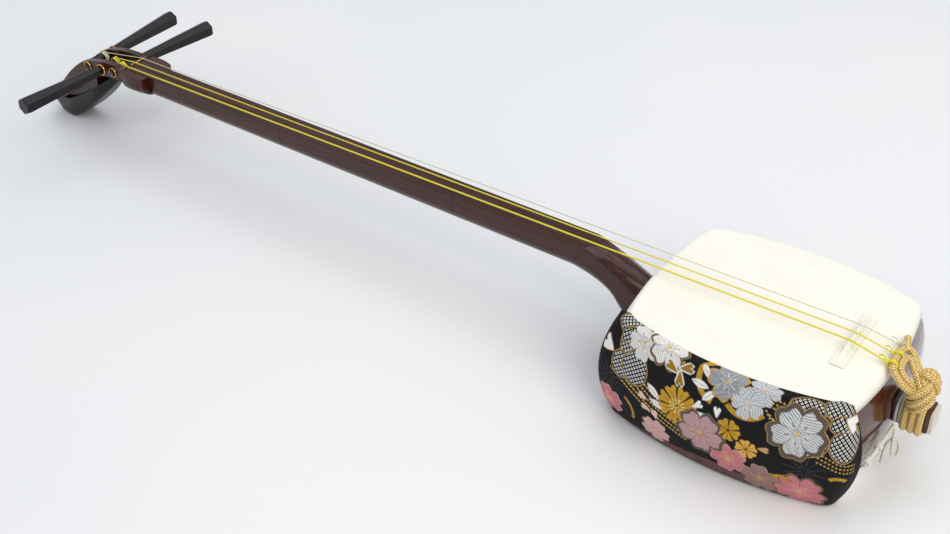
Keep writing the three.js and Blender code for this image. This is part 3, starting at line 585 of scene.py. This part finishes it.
loopCross = (skinEnd + 2.9, 2.9)      # x and z of the braid that the strings tie to
for number in (1, 2, 3):
    radius = stringLook["radii"][number - 1]
    silk = stringSilk[number - 1]
    low, high = (inInstrument(corner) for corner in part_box(f"winding_{number}"))
    centre = (low + high) / 2
    across = (high.y - low.y) / 2 - radius
    around = (high.z - low.z) / 2 - radius
    turns = max(3, int((high.y - low.y) / (2 * radius)))
    coil = [(centre.x + around * math.sin(a), centre.y - across + 2 * across * a / (2 * math.pi * turns),
             centre.z + around * math.cos(a)) for a in (2 * math.pi * turns * k / (turns * 30)
                                                       for k in range(turns * 30 + 1))]
    wound = sweep(f"winding{number}", [(coil, False)], tubeTree,
                  {"Radius": radius * mm, "Around": 8, "Material": silk})
    finishPiece(wound, f"tuner_{number}", None, [f"winding_{number}"])
    order = number - 2
    tieAt = order * stringLook["tieSpread"]
    stretch = [(centre.x, centre.y, high.z - radius + 0.25),
               (stringLook["nut"][0], order * stringLook["nutSpread"], stringLook["nut"][1]),
               (stringLook["bridge"][0], order * stringLook["bridgeSpread"], stringLook["bridge"][1]),
               (loopCross[0] - 3.4, tieAt, loopCross[1] + 0.6)]
    tie = [(loopCross[0] + stringLook["tieTurn"] * math.cos(a), tieAt + way * 0.7 + 0.25 * math.sin(a * 2),
            loopCross[1] + stringLook["tieTurn"] * math.sin(a))
           for way in (-1, 1) for a in (math.pi * (1 - way * k / 12) for k in range(25))]
    knotTurns = [(loopCross[0] - 5.4 + 0.35 * k / 12, tieAt + 1.35 * math.cos(2 * math.pi * k / 12),
                  loopCross[1] + 0.9 + 1.15 * math.sin(2 * math.pi * k / 12)) for k in range(49)]
    tail = smoothPath([(loopCross[0] - 4.6, tieAt + 0.8, loopCross[1] + 1.2),
                       (loopCross[0] - 8, tieAt + 3.2, loopCross[1] + 2.6),
                       (loopCross[0] - 12, tieAt + 4.4, loopCross[1] + 1.0)], 1.0)
    line = sweep(f"string{number}", [(stretch, False), (tie, False), (knotTurns, False), (tail, False)],
                 tubeTree,
                 {"Radius": radius * mm, "Around": stringLook["sides"], "Material": silk})
    finishPiece(line, "instrument", None, [f"string_{number}"])
print("strings made")


# --- forearm cover: brocade over a board, its flowers woven in as colour and relief
brocadeLook = {"grow": 5.0, "lip": 2.7, "round": 2.2, "flange": 4.6, "foot": 0.8, "start": 6.0,
               "tongue": -1.0,
               "length": 238, "pitch": 0.62, "relief": 0.22, "cloth": 2.1, "hem": 0.5,
               "ground": "#0b0a0e", "silver": "#d3d6d8", "white": "#f2f1ec", "grey": "#8d8f95",
               "gold": "#c8992a",
               "paleGold": "#dcb764", "pink": "#d3868a", "dusty": "#c8a3a3", "brown": "#5d5046",
               "tan": "#b2945a",
               "mauve": "#a08078", "shadow": "#3c3b40"}


def coverColumns(ring, limit, count):
    # keeps the part of a ring nearer than the limit, from the head end round to the tail end
    ring = np.array(ring)
    n = len(ring)
    inside = ring[:, 1] < limit
    start = next(i for i in range(n) if inside[i] and not inside[i - 1])
    kept = []
    before, first = ring[start - 1], ring[start]
    t = (limit - before[1]) / (first[1] - before[1])
    kept.append(before + (first - before) * t)
    i = start
    while inside[i % n]:
        kept.append(ring[i % n])
        i += 1
    last, after = ring[(i - 1) % n], ring[i % n]
    t = (limit - last[1]) / (after[1] - last[1])
    kept.append(last + (after - last) * t)
    kept = np.array(kept)
    gaps = np.linalg.norm(np.diff(kept, axis=0), axis=1)
    reach = np.concatenate([[0], np.cumsum(gaps)])
    at = np.linspace(0, reach[-1], count)
    return np.stack([np.interp(at, reach, kept[:, k]) for k in range(3)], 1), at - reach[-1] / 2


class Paint:
    def __init__(self, s, t):
        self.s, self.t = s, t
        self.colour = np.tile(np.array(fromHex(brocadeLook["ground"])[:3]), (len(s), 1))
        self.height = np.zeros(len(s))
        self.dots = np.zeros(len(s))

    def lay(self, field, colour, rise=0.5, soft=0.55):
        share = np.clip(field / soft + 0.5, 0, 1)
        if isinstance(colour, str):
            colour = np.array(fromHex(brocadeLook.get(colour, colour))[:3])
        self.colour += share[:, None] * (colour - self.colour)
        self.height += share * (rise - self.height)
        self.dots *= 1 - share


def between(first, second, share):
    a, b = (np.array(fromHex(brocadeLook.get(code, code))[:3]) for code in (first, second))
    return a + (b - a) * np.clip(share, 0, 1)[:, None]


def polar(paint, where, turn):
    x, y = paint.s - where[0], paint.t - where[1]
    return np.hypot(x, y), np.arctan2(y, x) - math.radians(turn)


def fromPetal(angle, petals):
    part = 2 * math.pi / petals
    return (angle / part - np.round(angle / part)) * part


def petalEdge(angle, petals, radius, depth=0.36, notch=0.09):
    near = fromPetal(angle, petals)
    wave = np.abs(np.cos(petals / 2 * angle))
    return radius * (1 - depth + depth * np.minimum(1, wave * 1.35) ** 0.7
                     - notch * np.exp(-(near / (0.8 / petals)) ** 2))


def cherryFlower(paint, where, radius, turn, base, vein, heart, rims=(), hatch=2.0, petals=5):
    # five notched petals in slanting satin stitch, a freckled heart and stamens
    distance, angle = polar(paint, where, turn)
    field = petalEdge(angle, petals, radius) - distance
    for grow, colour in rims:
        paint.lay(field + grow, colour, 0.55)
    near = fromPetal(angle, petals)
    along, side = distance * np.cos(near), distance * np.sin(near)
    which = np.round(angle / (2 * math.pi / petals)) % petals
    lean = np.radians(30 + 22 * np.sin(which * 2.3 + where[0]))
    line = np.mod((along * np.sin(lean) + np.where(which % 2 > 0, side, -side) * np.cos(lean)) / hatch, 1)
    stitch = (np.abs(line - 0.5) < 0.16) * np.clip(distance / radius * 3 - 0.8, 0, 1)
    paint.lay(field, between(base, vein, stitch * 0.8), 0.95)
    split = 0.3 - np.abs(distance * np.sin(math.pi / petals - np.abs(near)))
    paint.lay(np.minimum(split, np.minimum(field, distance - radius * 0.3)), vein, 0.5, 0.4)
    # stamens: broken rays, longer and shorter in turn, round a light middle
    rays = np.cos(angle * petals * 3) + 0.5 * np.sin(distance * 2.2 + np.round(angle * 4) * 1.9)
    reach = radius * (0.36 + 0.12 * np.cos(angle * petals))
    paint.lay(np.minimum(np.where(rays > 0.45, 1.0, -1.0),
                         np.minimum(reach - distance, distance - radius * 0.08)),
              heart, 0.7, 0.4)
    paint.lay(radius * 0.09 - distance, "paleGold", 0.9)


def heartPetal(paint, where, toward, length, width, colour, rim=None, grow=0.8):
    # a petal with its point toward the flower's middle and a notch at its far end
    x, y = paint.s - where[0], paint.t - where[1]
    a = math.radians(toward)
    along = (x * math.cos(a) + y * math.sin(a)) / length
    side = np.abs(x * -math.sin(a) + y * math.cos(a)) / width
    half = np.clip(1 - along, 0, 2) ** 0.75 * 0.68
    end = 1 - 0.55 * np.clip(side - 0.45, 0, 1) ** 2 * 2 - 0.45 * np.clip(1 - side * 3, 0, 1)
    field = np.minimum(np.minimum((half - side) * width, (end + along) * length), (1 - along) * length)
    if rim:
        paint.lay(field + grow, rim, 0.8)
    paint.lay(field, colour, 0.9)


def leaf(paint, where, toward, length, width, colour, vein):
    x, y = paint.s - where[0], paint.t - where[1]
    a = math.radians(toward)
    along = (x * math.cos(a) + y * math.sin(a)) / length
    side = x * -math.sin(a) + y * math.cos(a)
    field = width * (1 - along ** 2) - np.abs(side)
    paint.lay(field, colour, 0.9)
    paint.lay(np.minimum(0.22 - np.abs(side), (0.8 - np.abs(along)) * length), vein, 0.5, 0.4)


def petalFlower(paint, where, radius, turn, petals, colour, vein, heart=None):
    distance, angle = polar(paint, where, turn)
    near = fromPetal(angle, petals)
    width = math.pi / petals * 0.84
    field = np.minimum(petalEdge(angle, petals, radius, 0.12, 0.13) - distance,
                       (width - np.abs(near)) * distance)
    field = np.minimum(field, distance - radius * 0.12)
    paint.lay(field, colour, 0.95)
    paint.lay(np.minimum(0.25 - np.abs(distance * np.sin(near)),
                         np.minimum(field, radius * 0.72 - distance)), vein,
              0.5, 0.4)
    if heart:
        rays = np.cos(angle * petals * 1.5)
        paint.lay(np.where((rays > 0.35) & (distance < radius * 0.42), 1.0, -1.0), heart, 0.8)


def cloud(paint, blobs, rim="tan", grow=0.75):
    # a tie-dyed patch: round lobes in one outline, full of small ringed dots
    fields = [1 - np.hypot((paint.s - x) / rx, (paint.t - y) / ry) for x, y, rx, ry in blobs]
    for field, blob in zip(fields, blobs):
        near = field * min(blob[2:])
        paint.lay(np.minimum(near + grow, 10), rim, 0.6)
        paint.lay(near, "#1b1a1f", 0.4)
        paint.dots = np.where(near > 0.55, 1.0, paint.dots * (near < -grow))


def dotRow(paint, points, colour="paleGold", pitch=2.5, size=0.62):
    points = [np.array(p, dtype=float) for p in points]
    reach = np.concatenate([[0], np.cumsum([np.linalg.norm(b - a) for a, b in zip(points, points[1:])])])
    for k in range(int(reach[-1] / pitch) + 1):
        at = k * pitch
        x = np.interp(at, reach, [p[0] for p in points])
        y = np.interp(at, reach, [p[1] for p in points])
        field = size - np.maximum(np.abs(paint.s - x), np.abs(paint.t - y))
        paint.lay(field, colour, 0.8, 0.5)


def arc(paint, where, radius, width, start, end, colour, rim="brown"):
    distance, angle = polar(paint, where, (start + end) / 2)
    angle = (angle + math.pi) % (2 * math.pi) - math.pi
    half = math.radians(end - start) / 2
    field = np.minimum(width / 2 - np.abs(distance - radius), (half - np.abs(angle)) * radius)
    paint.lay(field + 0.4, rim, 0.6)
    twist = np.mod((angle * radius + distance) / 2.6, 1)
    paint.lay(field, between(colour, "#8a6a1c", np.abs(twist - 0.5) < 0.12), 0.9)


def firework(paint, where, radius, rays=12):
    distance, angle = polar(paint, where, 7)
    near = fromPetal(angle, rays)
    spot = np.mod(distance / 2.4, 1)
    lit = (np.abs(near * distance) < 0.75) & (spot < 0.55) & (distance > 3) & (distance < radius)
    field = np.where(lit, 1.0, -1.0)
    paint.lay(field, "shadow", 0.6)


def weaveFlowers(paint):
    for k in range(5):
        dotRow(paint, [(-92 + 1.5 * k, 38 - 4.2 * k), (-50 + 1.5 * k, 58 - 4.2 * k),
                       (-16 + k, 68 - 4.2 * k)],
               pitch=2.9, size=0.8)
    for k in range(3):
        dotRow(paint, [(-44 + 4 * k, -3), (-28 + 3.4 * k, 4.5 + 0.6 * k)], pitch=3)
        dotRow(paint, [(38 + 1.5 * k, 1 + 3.4 * k), (66 - 5 * k, 5 + 2.6 * k)], pitch=3)
        dotRow(paint, [(42 + 3.4 * k, 12 + 2.6 * k), (50 + 2.4 * k, 22 - 2 * k)], pitch=3)
        dotRow(paint, [(86, 34 + 4 * k), (101, 40 + 3.4 * k), (117, 42.5 + 3.6 * k)], pitch=3)
    firework(paint, (78, 54), 17)
    firework(paint, (-93, 48), 15)
    # lower band of small pink flowers in lattice
    band = paint.t - (95 - 14 * np.exp(-((paint.s - 10) / 70) ** 2))
    lattice = (np.mod(paint.s + paint.t, 3.0) > 1.4) * (np.mod(paint.s - paint.t, 3.0) > 1.4)
    paint.lay(band, between("#3a292b", "#a87876", lattice), 0.6)
    cloud(paint, [(-77, -6, 17, 13), (-77, 11, 10, 14), (-83, 30, 9, 11), (-69, 27, 12, 14),
                  (-82, 6, 5, 6)])
    cloud(paint, [(70, 2, 13, 9), (76, 26, 15, 13), (95, -4, 14, 11), (104, 24, 12, 14), (95, 9, 6.5, 6)])
    heartPetal(paint, (-98, 21), 20, 6, 7, "white", "tan")
    heartPetal(paint, (105, 8), -150, 7, 5.5, "white", "tan")
    cherryFlower(paint, (-65, 3), 15, 20, "#e4e4e2", "#b9b6b0", "#a8998a")
    cherryFlower(paint, (-44, -4), 16.5, 55, "white", "#a9a8a6", "#a58c6a", [(2.4, "tan"), (1.9, "brown")])
    for x, y, a in ((-36.5, 9, -160), (-25, 5, -20), (-28.5, 14.5, 80)):
        heartPetal(paint, (x, y), a + 180, 5.6, 3.6, "#9a7820", "white", 1.0)
    arc(paint, (3, 4), 17, 4.2, 100, 262, "gold")
    arc(paint, (26, 4), 19, 4.0, 40, 135, "gold")
    leaf(paint, (-9, 0), 50, 6.5, 2.6, "white", "grey")
    leaf(paint, (-11.5, 11), 5, 7.5, 2.9, "white", "grey")
    leaf(paint, (-2.5, 17), -50, 7, 2.9, "white", "grey")
    cherryFlower(paint, (9.2, 1), 15.5, 35, "grey", "#bfc0c2", "#d9d9d6", [(1.3, "gold")], 1.1)
    cherryFlower(paint, (37, -2), 13, 0, "silver", "#7f8185", "#9a9da0")
    cherryFlower(paint, (27.7, 11.5), 13, 30, "silver", "#7f8185", "#9a9da0")
    leaf(paint, (-48.5, 36), 35, 8, 3, "white", "grey")
    leaf(paint, (-43.5, 46), 12, 8, 3, "white", "grey")
    petalFlower(paint, (-26, 38), 17.5, 12, 8, "gold", "#6e5312", "#efd37a")
    for x, y, a in ((-58, 46, 20), (-54, 56, 10), (-45, 58, 70)):
        heartPetal(paint, (x, y), a, 3.8, 2.6, "#e9c0b6", "#f0e6df", 0.5)
    for x, y, a in ((-10, 28.6, -40), (-7, 35.5, 10), (6.5, 27.5, -95)):
        heartPetal(paint, (x, y), a + 180, 4.6, 3.1, "white")
    petalFlower(paint, (17.4, 38.5), 10, 15, 5, "gold", "#7a5f18")
    petalFlower(paint, (33.3, 50.2), 9, 40, 5, "#e2b04a", "#8a6a1c")
    heartPetal(paint, (46, 45), 175, 4, 2.6, "#c9a46a", "tan", 0.4)
    cherryFlower(paint, (67.7, 22.4), 19.5, 18, "silver", "#5f6064", "#77706a",
                 [(4.6, "tan"), (4.0, "brown")])
    cherryFlower(paint, (-94, 74), 15, 40, "pink", "#a86468", "#e7b9a6", [(0.8, "#e6b5b0")])
    cherryFlower(paint, (-45, 77), 14, 10, "#dcb7b0", "#b98f88", "#c89a62")
    cherryFlower(paint, (20, 68), 15, 30, "pink", "#a86468", "#d9a06a", [(0.9, "#e3adae")])
    cherryFlower(paint, (-4.3, 52), 18.5, 12, "dusty", "#96706f", "#9c7348",
                 [(3.0, "#8f8478"), (2.6, "brown")])
    cherryFlower(paint, (45.5, 78), 15.5, 50, "mauve", "#83655f", "#b08c5a", [(0.8, "#b79b86")])
    cherryFlower(paint, (75.6, 80), 19.5, 20, "pink", "#a55f63", "#d8a090", [(1.8, "tan"), (1.4, "brown")])
    arc(paint, (62, 74), 7, 3.4, 200, 330, "gold")
    arc(paint, (103, 62), 8, 3.0, 220, 320, "gold")
    arc(paint, (-84, 74), 17, 2.4, -60, 20, "gold")


def makeBrocade():
    look = brocadeLook
    outline = bodyOutline(90, 14)
    r = look["round"]
    depth = bodyShape["depth"]
    profile = [(-look["flange"] + 0.5, 0.35), (-look["flange"] + 0.05, 1.0), (-look["flange"] + 0.25, 1.9),
               (-look["flange"] + 1.0, look["lip"] - 0.15), (-look["flange"] + 1.9, look["lip"])]
    profile += [(look["grow"] - r + r * math.sin(a), look["lip"] - r + r * math.cos(a))
                for a in (math.pi / 2 * k / 6 for k in range(7))]
    profile += [(look["grow"], -depth + look["foot"] + 1.2),
                (look["grow"] - 0.4, -depth + look["foot"] + 0.3),
                (look["grow"] - 1.2, -depth + look["foot"])]
    profile = np.array(profile)
    gaps = np.linalg.norm(np.diff(profile, axis=0), axis=1)
    reach = np.concatenate([[0], np.cumsum(gaps)])
    rows = int(reach[-1] / look["pitch"])
    at = np.linspace(0, reach[-1], rows)
    grow, z = np.interp(at, reach, profile[:, 0]), np.interp(at, reach, profile[:, 1])
    foldAt = reach[11]
    columns = int(look["length"] / look["pitch"])
    points, s, t = [], [], []
    middle = -depth / 2
    for k in range(rows):
        level = min(z[k], 0.0)
        share = max(0.0, 1 - ((level - middle) / middle) ** 2)
        limit = -bodyShape["halfWidth"] + look["start"] + look["tongue"] * share
        scale = barrelAt(level)
        ring = [(p.x * (scale + grow[k] / skinEnd), p.y * (scale + grow[k] / skinSide),
                 z[k]) for p in outline]
        row, along = coverColumns(ring, limit, columns)
        points.append(row)
        s.append(along)
        t.append(np.full(columns, at[k] - foldAt))
    points, s, t = np.array(points), np.concatenate(s), np.concatenate(t)
    paint = Paint(s, t)
    weaveFlowers(paint)
    # normals of the smooth sheet, for the woven relief
    across, down = np.gradient(points, axis=1), np.gradient(points, axis=0)
    normal = np.cross(down, across)
    normal /= np.linalg.norm(normal, axis=2, keepdims=True)
    middlePoint = np.array([0, 0, middle])
    if np.mean(np.sum(normal * (points - middlePoint), axis=2)) < 0:
        normal = -normal
    edge = np.minimum.reduce([np.arange(rows)[:, None] * np.ones(columns),
                              (rows - 1 - np.arange(rows))[:, None]
                              * np.ones(columns), np.ones((rows, 1)) * np.arange(columns),
                              np.ones((rows, 1)) * (columns - 1 - np.arange(columns))])
    hem = np.clip(edge / 4, 0, 1)
    height = (paint.height.reshape(rows, columns) - 0.6) * look["relief"] * hem - look["hem"] * (1 - hem) ** 2
    outer = points + normal * height[..., None]
    inner = points - normal * look["cloth"]
    verts = [tuple(place(*p)) for p in outer.reshape(-1, 3)]
    rim = ([(0, c) for c in range(columns)] + [(k, columns - 1) for k in range(1, rows)]
           + [(rows - 1, c) for c in range(columns - 2, -1, -1)] + [(k, 0) for k in range(rows - 2, 0, -1)])
    first = len(verts)
    verts += [tuple(place(*inner[k, c])) for k, c in rim]
    faces = [(k * columns + c, k * columns + c + 1, (k + 1) * columns + c + 1, (k + 1) * columns + c)
             for k in range(rows - 1) for c in range(columns - 1)]
    n = len(rim)
    for i in range(n):
        j = (i + 1) % n
        a, b = rim[i][0] * columns + rim[i][1], rim[j][0] * columns + rim[j][1]
        faces.append((b, a, first + i, first + j))
    piece = linkMesh("coverBrocade", verts, faces)
    mesh = piece.data
    colour = np.concatenate([np.concatenate([paint.colour, paint.dots[:, None]], 1),
                             np.tile(np.array([*fromHex(look["ground"])[:3], 0]), (n, 1))])
    layer = mesh.attributes.new("woven", "FLOAT_COLOR", "POINT")
    layer.data.foreach_set("color", colour.astype(np.float32).ravel())
    uv = mesh.uv_layers.new(name="cloth")
    where = np.concatenate([np.stack([s, t], 1), np.array([(s[k * columns + c], t[k * columns + c]) for k,
                                                           c in rim])])
    index = np.zeros(len(mesh.loops), dtype=np.int32)
    mesh.loops.foreach_get("vertex_index", index)
    uv.data.foreach_set("uv", (where[index] / 100).astype(np.float32).ravel())
    work = bmesh.new()
    work.from_mesh(mesh)
    work.faces.ensure_lookup_table()
    probe = work.faces[(rows // 2) * (columns - 1) + columns // 2]
    if probe.normal.y > 0:
        bmesh.ops.reverse_faces(work, faces=work.faces)
    work.to_mesh(mesh)
    work.free()
    return piece


def makeBrocadeMaterial():
    # silk and metal-foil brocade: matt black ground, raised satin flowers with a soft shine
    material, tree, shader = newMaterial("silkBrocade", Roughness=0.72, Specular_IOR_Level=0.22)
    woven = addNode(tree, "ShaderNodeAttribute", attribute_name="woven")
    cloth = addNode(tree, "ShaderNodeUVMap", uv_map="cloth").outputs[0]
    # ringed dots on a lattice 2.9 mm apart, turned 40 degrees
    turned = addNode(tree, "ShaderNodeMapping", {"Vector": cloth, "Scale": (35.0, 35.0, 1.0),
                     "Rotation": (0, 0, math.radians(40))}).outputs[0]
    cell = addNode(tree, "ShaderNodeVectorMath", {0: turned}, operation="FRACTION").outputs[0]
    centred = addNode(tree, "ShaderNodeVectorMath", {0: cell, 1: (0.5, 0.5, 0.0)},
                      operation="SUBTRACT").outputs[0]
    parts = addNode(tree, "ShaderNodeSeparateXYZ", {"Vector": centred}).outputs
    wide, tall = (addNode(tree, "ShaderNodeMath", {0: part},
                          operation="ABSOLUTE").outputs[0] for part in parts[:2])
    reach = addNode(tree, "ShaderNodeMath", {0: wide, 1: tall, 2: 0.12}, operation="SMOOTH_MAX").outputs[0]
    ring = addNode(tree, "ShaderNodeValToRGB", {"Fac": reach}, stops=[
        (0.0, "#0e0d12"), (0.11, "#0e0d12"), (0.16, "#f4f3ef"), (0.28, "#eeeeea"),
        (0.33, "#0e0d12")]).outputs[0]
    share = addNode(tree, "ShaderNodeMath", {0: woven.outputs["Alpha"], 1: 0.5},
                    operation="GREATER_THAN").outputs[0]
    mixed = addNode(tree, "ShaderNodeMix", {"Factor": share, "A": woven.outputs["Color"], "B": ring},
                    data_type="RGBA")
    threads = addNode(tree, "ShaderNodeTexWave", {"Vector": cloth, "Scale": 62.0, "Distortion": 1.2,
                      "Detail": 1.0, "Detail Scale": 1.5}, bands_direction="DIAGONAL")
    shade = addNode(tree, "ShaderNodeMapRange", {"Value": threads.outputs["Fac"], "To Min": 0.8,
                                                 "To Max": 1.04})
    final = addNode(tree, "ShaderNodeMix", {"Factor": 1.0, "A": mixed.outputs["Result"],
                                            "B": shade.outputs[0]},
                    data_type="RGBA", blend_type="MULTIPLY")
    tree.links.new(final.outputs["Result"], shader.inputs["Base Color"])
    addNode(tree, "ShaderNodeBump", {"Height": threads.outputs["Fac"], "Distance": 0.12 * mm,
                                     "Strength": 0.6},
            to=shader.inputs["Normal"])
    return material


brocade = makeBrocade()
finishPiece(brocade, "instrument", makeBrocadeMaterial(), ["cover_brocade"])
print("brocade made", len(brocade.data.polygons))


# --- tail cord: gold braid knotted round the spike, with a loop that takes the strings
knotBraid = {"radius": 2.75, "columns": 6, "pitch": 2.0, "relief": 0.7, "step": 0.45, "around": 24}
knotLook = {"centre": (127.5, -5.0, -17.0), "size": (13.0, 17.0, 20.0)}
# the rounded square that braid and cord make round the spike
spikeTurn = {"half": 9.3, "tall": 10.3, "square": 0.62, "z": -43}
# the three ways that the strands of the knot run, as the axes of their turns
knotWays = {"under": (0.59, 0.73, 0.35), "front": (-0.49, -0.09, 0.83), "crown": (0.09, 0.91, 0.37)}


def knotStrand(way, offset, start, end, layer=0.0, dive=4.5):
    # part of a turn of braid on the knot's egg shape; its ends dive under the strands that cross it
    axis = Vector(knotWays[way]).normalized()
    side = back - axis * back.dot(axis)  # towards the camera
    side.normalize()
    other = axis.cross(side)
    reach = math.sqrt(max(0.02, 1 - offset ** 2))
    points = []
    steps = int((end - start) / 9)
    for k in range(steps + 1):
        share = k / steps
        a = math.radians(start + (end - start) * share)
        depth = knotBraid["radius"] + layer + dive * abs(2 * share - 1) ** 5
        p = axis * offset + (side * math.cos(a) + other * math.sin(a)) * reach
        points.append(tuple(c + v * (h - depth) for c, v, h in zip(knotLook["centre"], p,
                                                                   knotLook["size"])))
    return smoothPath(points, 1.2), False


def roundSpike(x, grow, lean=0.0):
    half, tall, square = spikeTurn["half"] + grow, spikeTurn["tall"] + grow, spikeTurn["square"]
    turns = [2 * math.pi * k / 20 for k in range(20)]
    points = [(x + lean * math.cos(a), math.copysign(abs(math.cos(a)) ** square, math.cos(a)) * half,
               spikeTurn["z"] + math.copysign(abs(math.sin(a)) ** square,
                                              math.sin(a)) * tall) for a in turns]
    return smoothPath(points, 1.2, True), True


x, z = loopCross
outerLoop = [(x + 20, -16, -13), (x + 14, -19, -8), (x + 8, -19, -3), (x + 3, -16.5, 1), (x, -11, z),
             (x - 0.4, -4, z),
             (x - 0.4, 4, z), (x + 1, 10, z), (x + 4.6, 12.6, z - 1), (x + 9, 9.5, z - 2),
             (x + 14, 4, z - 3.6),
             (x + 19, -2, -3), (x + 24, -6, -8)]
innerLoop = [(x + 21, -12, -12), (x + 14, -14.6, -5), (x + 8, -12.6, -1.2), (x + 5.4, -8, 0.8),
             (x + 5, -2, 1.2),
             (x + 6.2, 3.4, 1), (x + 9, 3.6, -0.2), (x + 13, -1.4, -1.4), (x + 18, -7.5, -3),
             (x + 22, -10, -8)]
shortEnd = [(x + 4, 11, z - 1.2), (x + 1.6, 13.5, z + 0.4), (x + 0.2, 18, z + 0.4),
            (x - 1.8, 23.6, z + 0.4)]
knotRoutes = [knotStrand("under", offset, -150, 150, 3.6, 1.0) for offset in (-0.7, -0.35, 0.0, 0.35, 0.7)]
knotRoutes += [knotStrand("front", offset, -125, 30, -0.4) for offset in (0.44, 0.04, -0.36)]
knotRoutes += [knotStrand("crown", offset, -80, 62, -0.2) for offset in (0.26, 0.6, 0.87)]
knotRoutes += [roundSpike(station, knotBraid["radius"]) for station in (119.6, 125.4, 131.2)]
knot = braid("tailKnot", knotRoutes, goldBraid, **knotBraid)
finishPiece(knot, "instrument", None, ["tail_knot"])
loop = braid("tailLoop", [(smoothPath(route, 1.2), False) for route in (outerLoop, innerLoop, shortEnd)],
             goldBraid,
             **knotBraid)
finishPiece(loop, "instrument", None, ["tail_loop"])
print("tail cord made")


# --- the cover's white cord, doubled, from the cover's edge to the spike and twice round it
tieLook = {"radius": 1.15, "columns": 6, "pitch": 2.2, "relief": 0.35, "step": 0.5, "around": 20}
tieRoute = [(113.4, -72.6, -46), (114, -66, -46.3), (114.4, -57, -46.8), (114.6, -45, -47.4),
            (114.8, -30, -48),
            (114.8, -18.8, -48.8)]


def wrapRound(start, end, turns, radius):
    start, end = Vector(start), Vector(end)
    axis = (end - start).normalized()
    side = axis.cross(Vector((1, 0, 0))).normalized()
    other = axis.cross(side)
    steps = int(turns * 14)
    return [tuple(start.lerp(end, k / steps) + (side * math.cos(a) + other * math.sin(a)) * radius)
            for k, a in ((k, 2 * math.pi * turns * k / steps) for k in range(steps + 1))]


tieRoutes = [(smoothPath([(a, b + 0.8 * way, c + 1.0 * way) for a, b, c in tieRoute], 1.0),
              False) for way in (-1, 1)]
tieRoutes.append((wrapRound((113.5, -71.5, -46.1), (113.9, -66.5, -46.2), 2.5, 2.2), False))
tieRoutes.append((wrapRound((114.5, -50, -47.2), (114.6, -45, -47.4), 2.5, 2.1), False))
tieRoutes += [roundSpike(x, tieLook["radius"], lean) for x, lean in ((112.9, 0.3), (115.2, -0.5))]
tie = braid("coverCordTie", tieRoutes, whiteBraid, **tieLook)
finishPiece(tie, "instrument", None, ["cover_tie"])
print("white cord made")


# --- floor, light and air
studio = {"key": 19.0, "fill": 5.0, "top": 12.0, "air": 0.64}
floor = linkMesh("floor", [(-6, -4, 0), (5, -4, 0), (5, 7, 0), (-6, 7, 0)], [(0, 1, 2, 3)], False)
floorPaper, tree, shader = newMaterial("paperFloor", Roughness=0.6)
clouds = addNode(tree, "ShaderNodeTexNoise", {"Scale": 1.0}, (600.0, 600.0, 600.0))
addNode(tree, "ShaderNodeValToRGB", {"Fac": clouds.outputs["Fac"]},
        stops=[(0.3, "#e7eaee"), (0.7, "#eeefef")],
        to=shader.inputs["Base Color"])
floor.data.materials.append(floorPaper)


def areaLight(name, where, aim, size, power, code):
    light = bpy.data.lights.new(name, "AREA")
    light.shape = "RECTANGLE"
    light.size, light.size_y = size
    light.energy = power
    light.color = fromHex(code)[:3]
    lamp = bpy.data.objects.new(name, light)
    lamp.location = where
    lamp.rotation_euler = (Vector(aim) - Vector(where)).to_track_quat("-Z", "Y").to_euler()
    bpy.context.scene.collection.objects.link(lamp)


areaLight("softboxRight", (1.5, -0.5, 1.5), (0.3, 0, 0), (1.4, 1.4), studio["key"], "#fff6ea")
areaLight("softboxTop", (-0.1, 0.7, 1.9), (0, 0, 0), (2.2, 1.4), studio["top"], "#ffffff")
areaLight("softboxLeft", (-1.2, -1.4, 1.2), (0, 0, 0), (1.6, 1.2), studio["fill"], "#e8f0ff")
world = bpy.data.worlds.new("studioAir")
world.use_nodes = True
world.node_tree.nodes["Background"].inputs["Color"].default_value = fromHex("#eef1f6")
world.node_tree.nodes["Background"].inputs["Strength"].default_value = studio["air"]
bpy.context.scene.world = world
bpy.context.scene.view_settings.view_transform = "Standard"
print("studio lit")
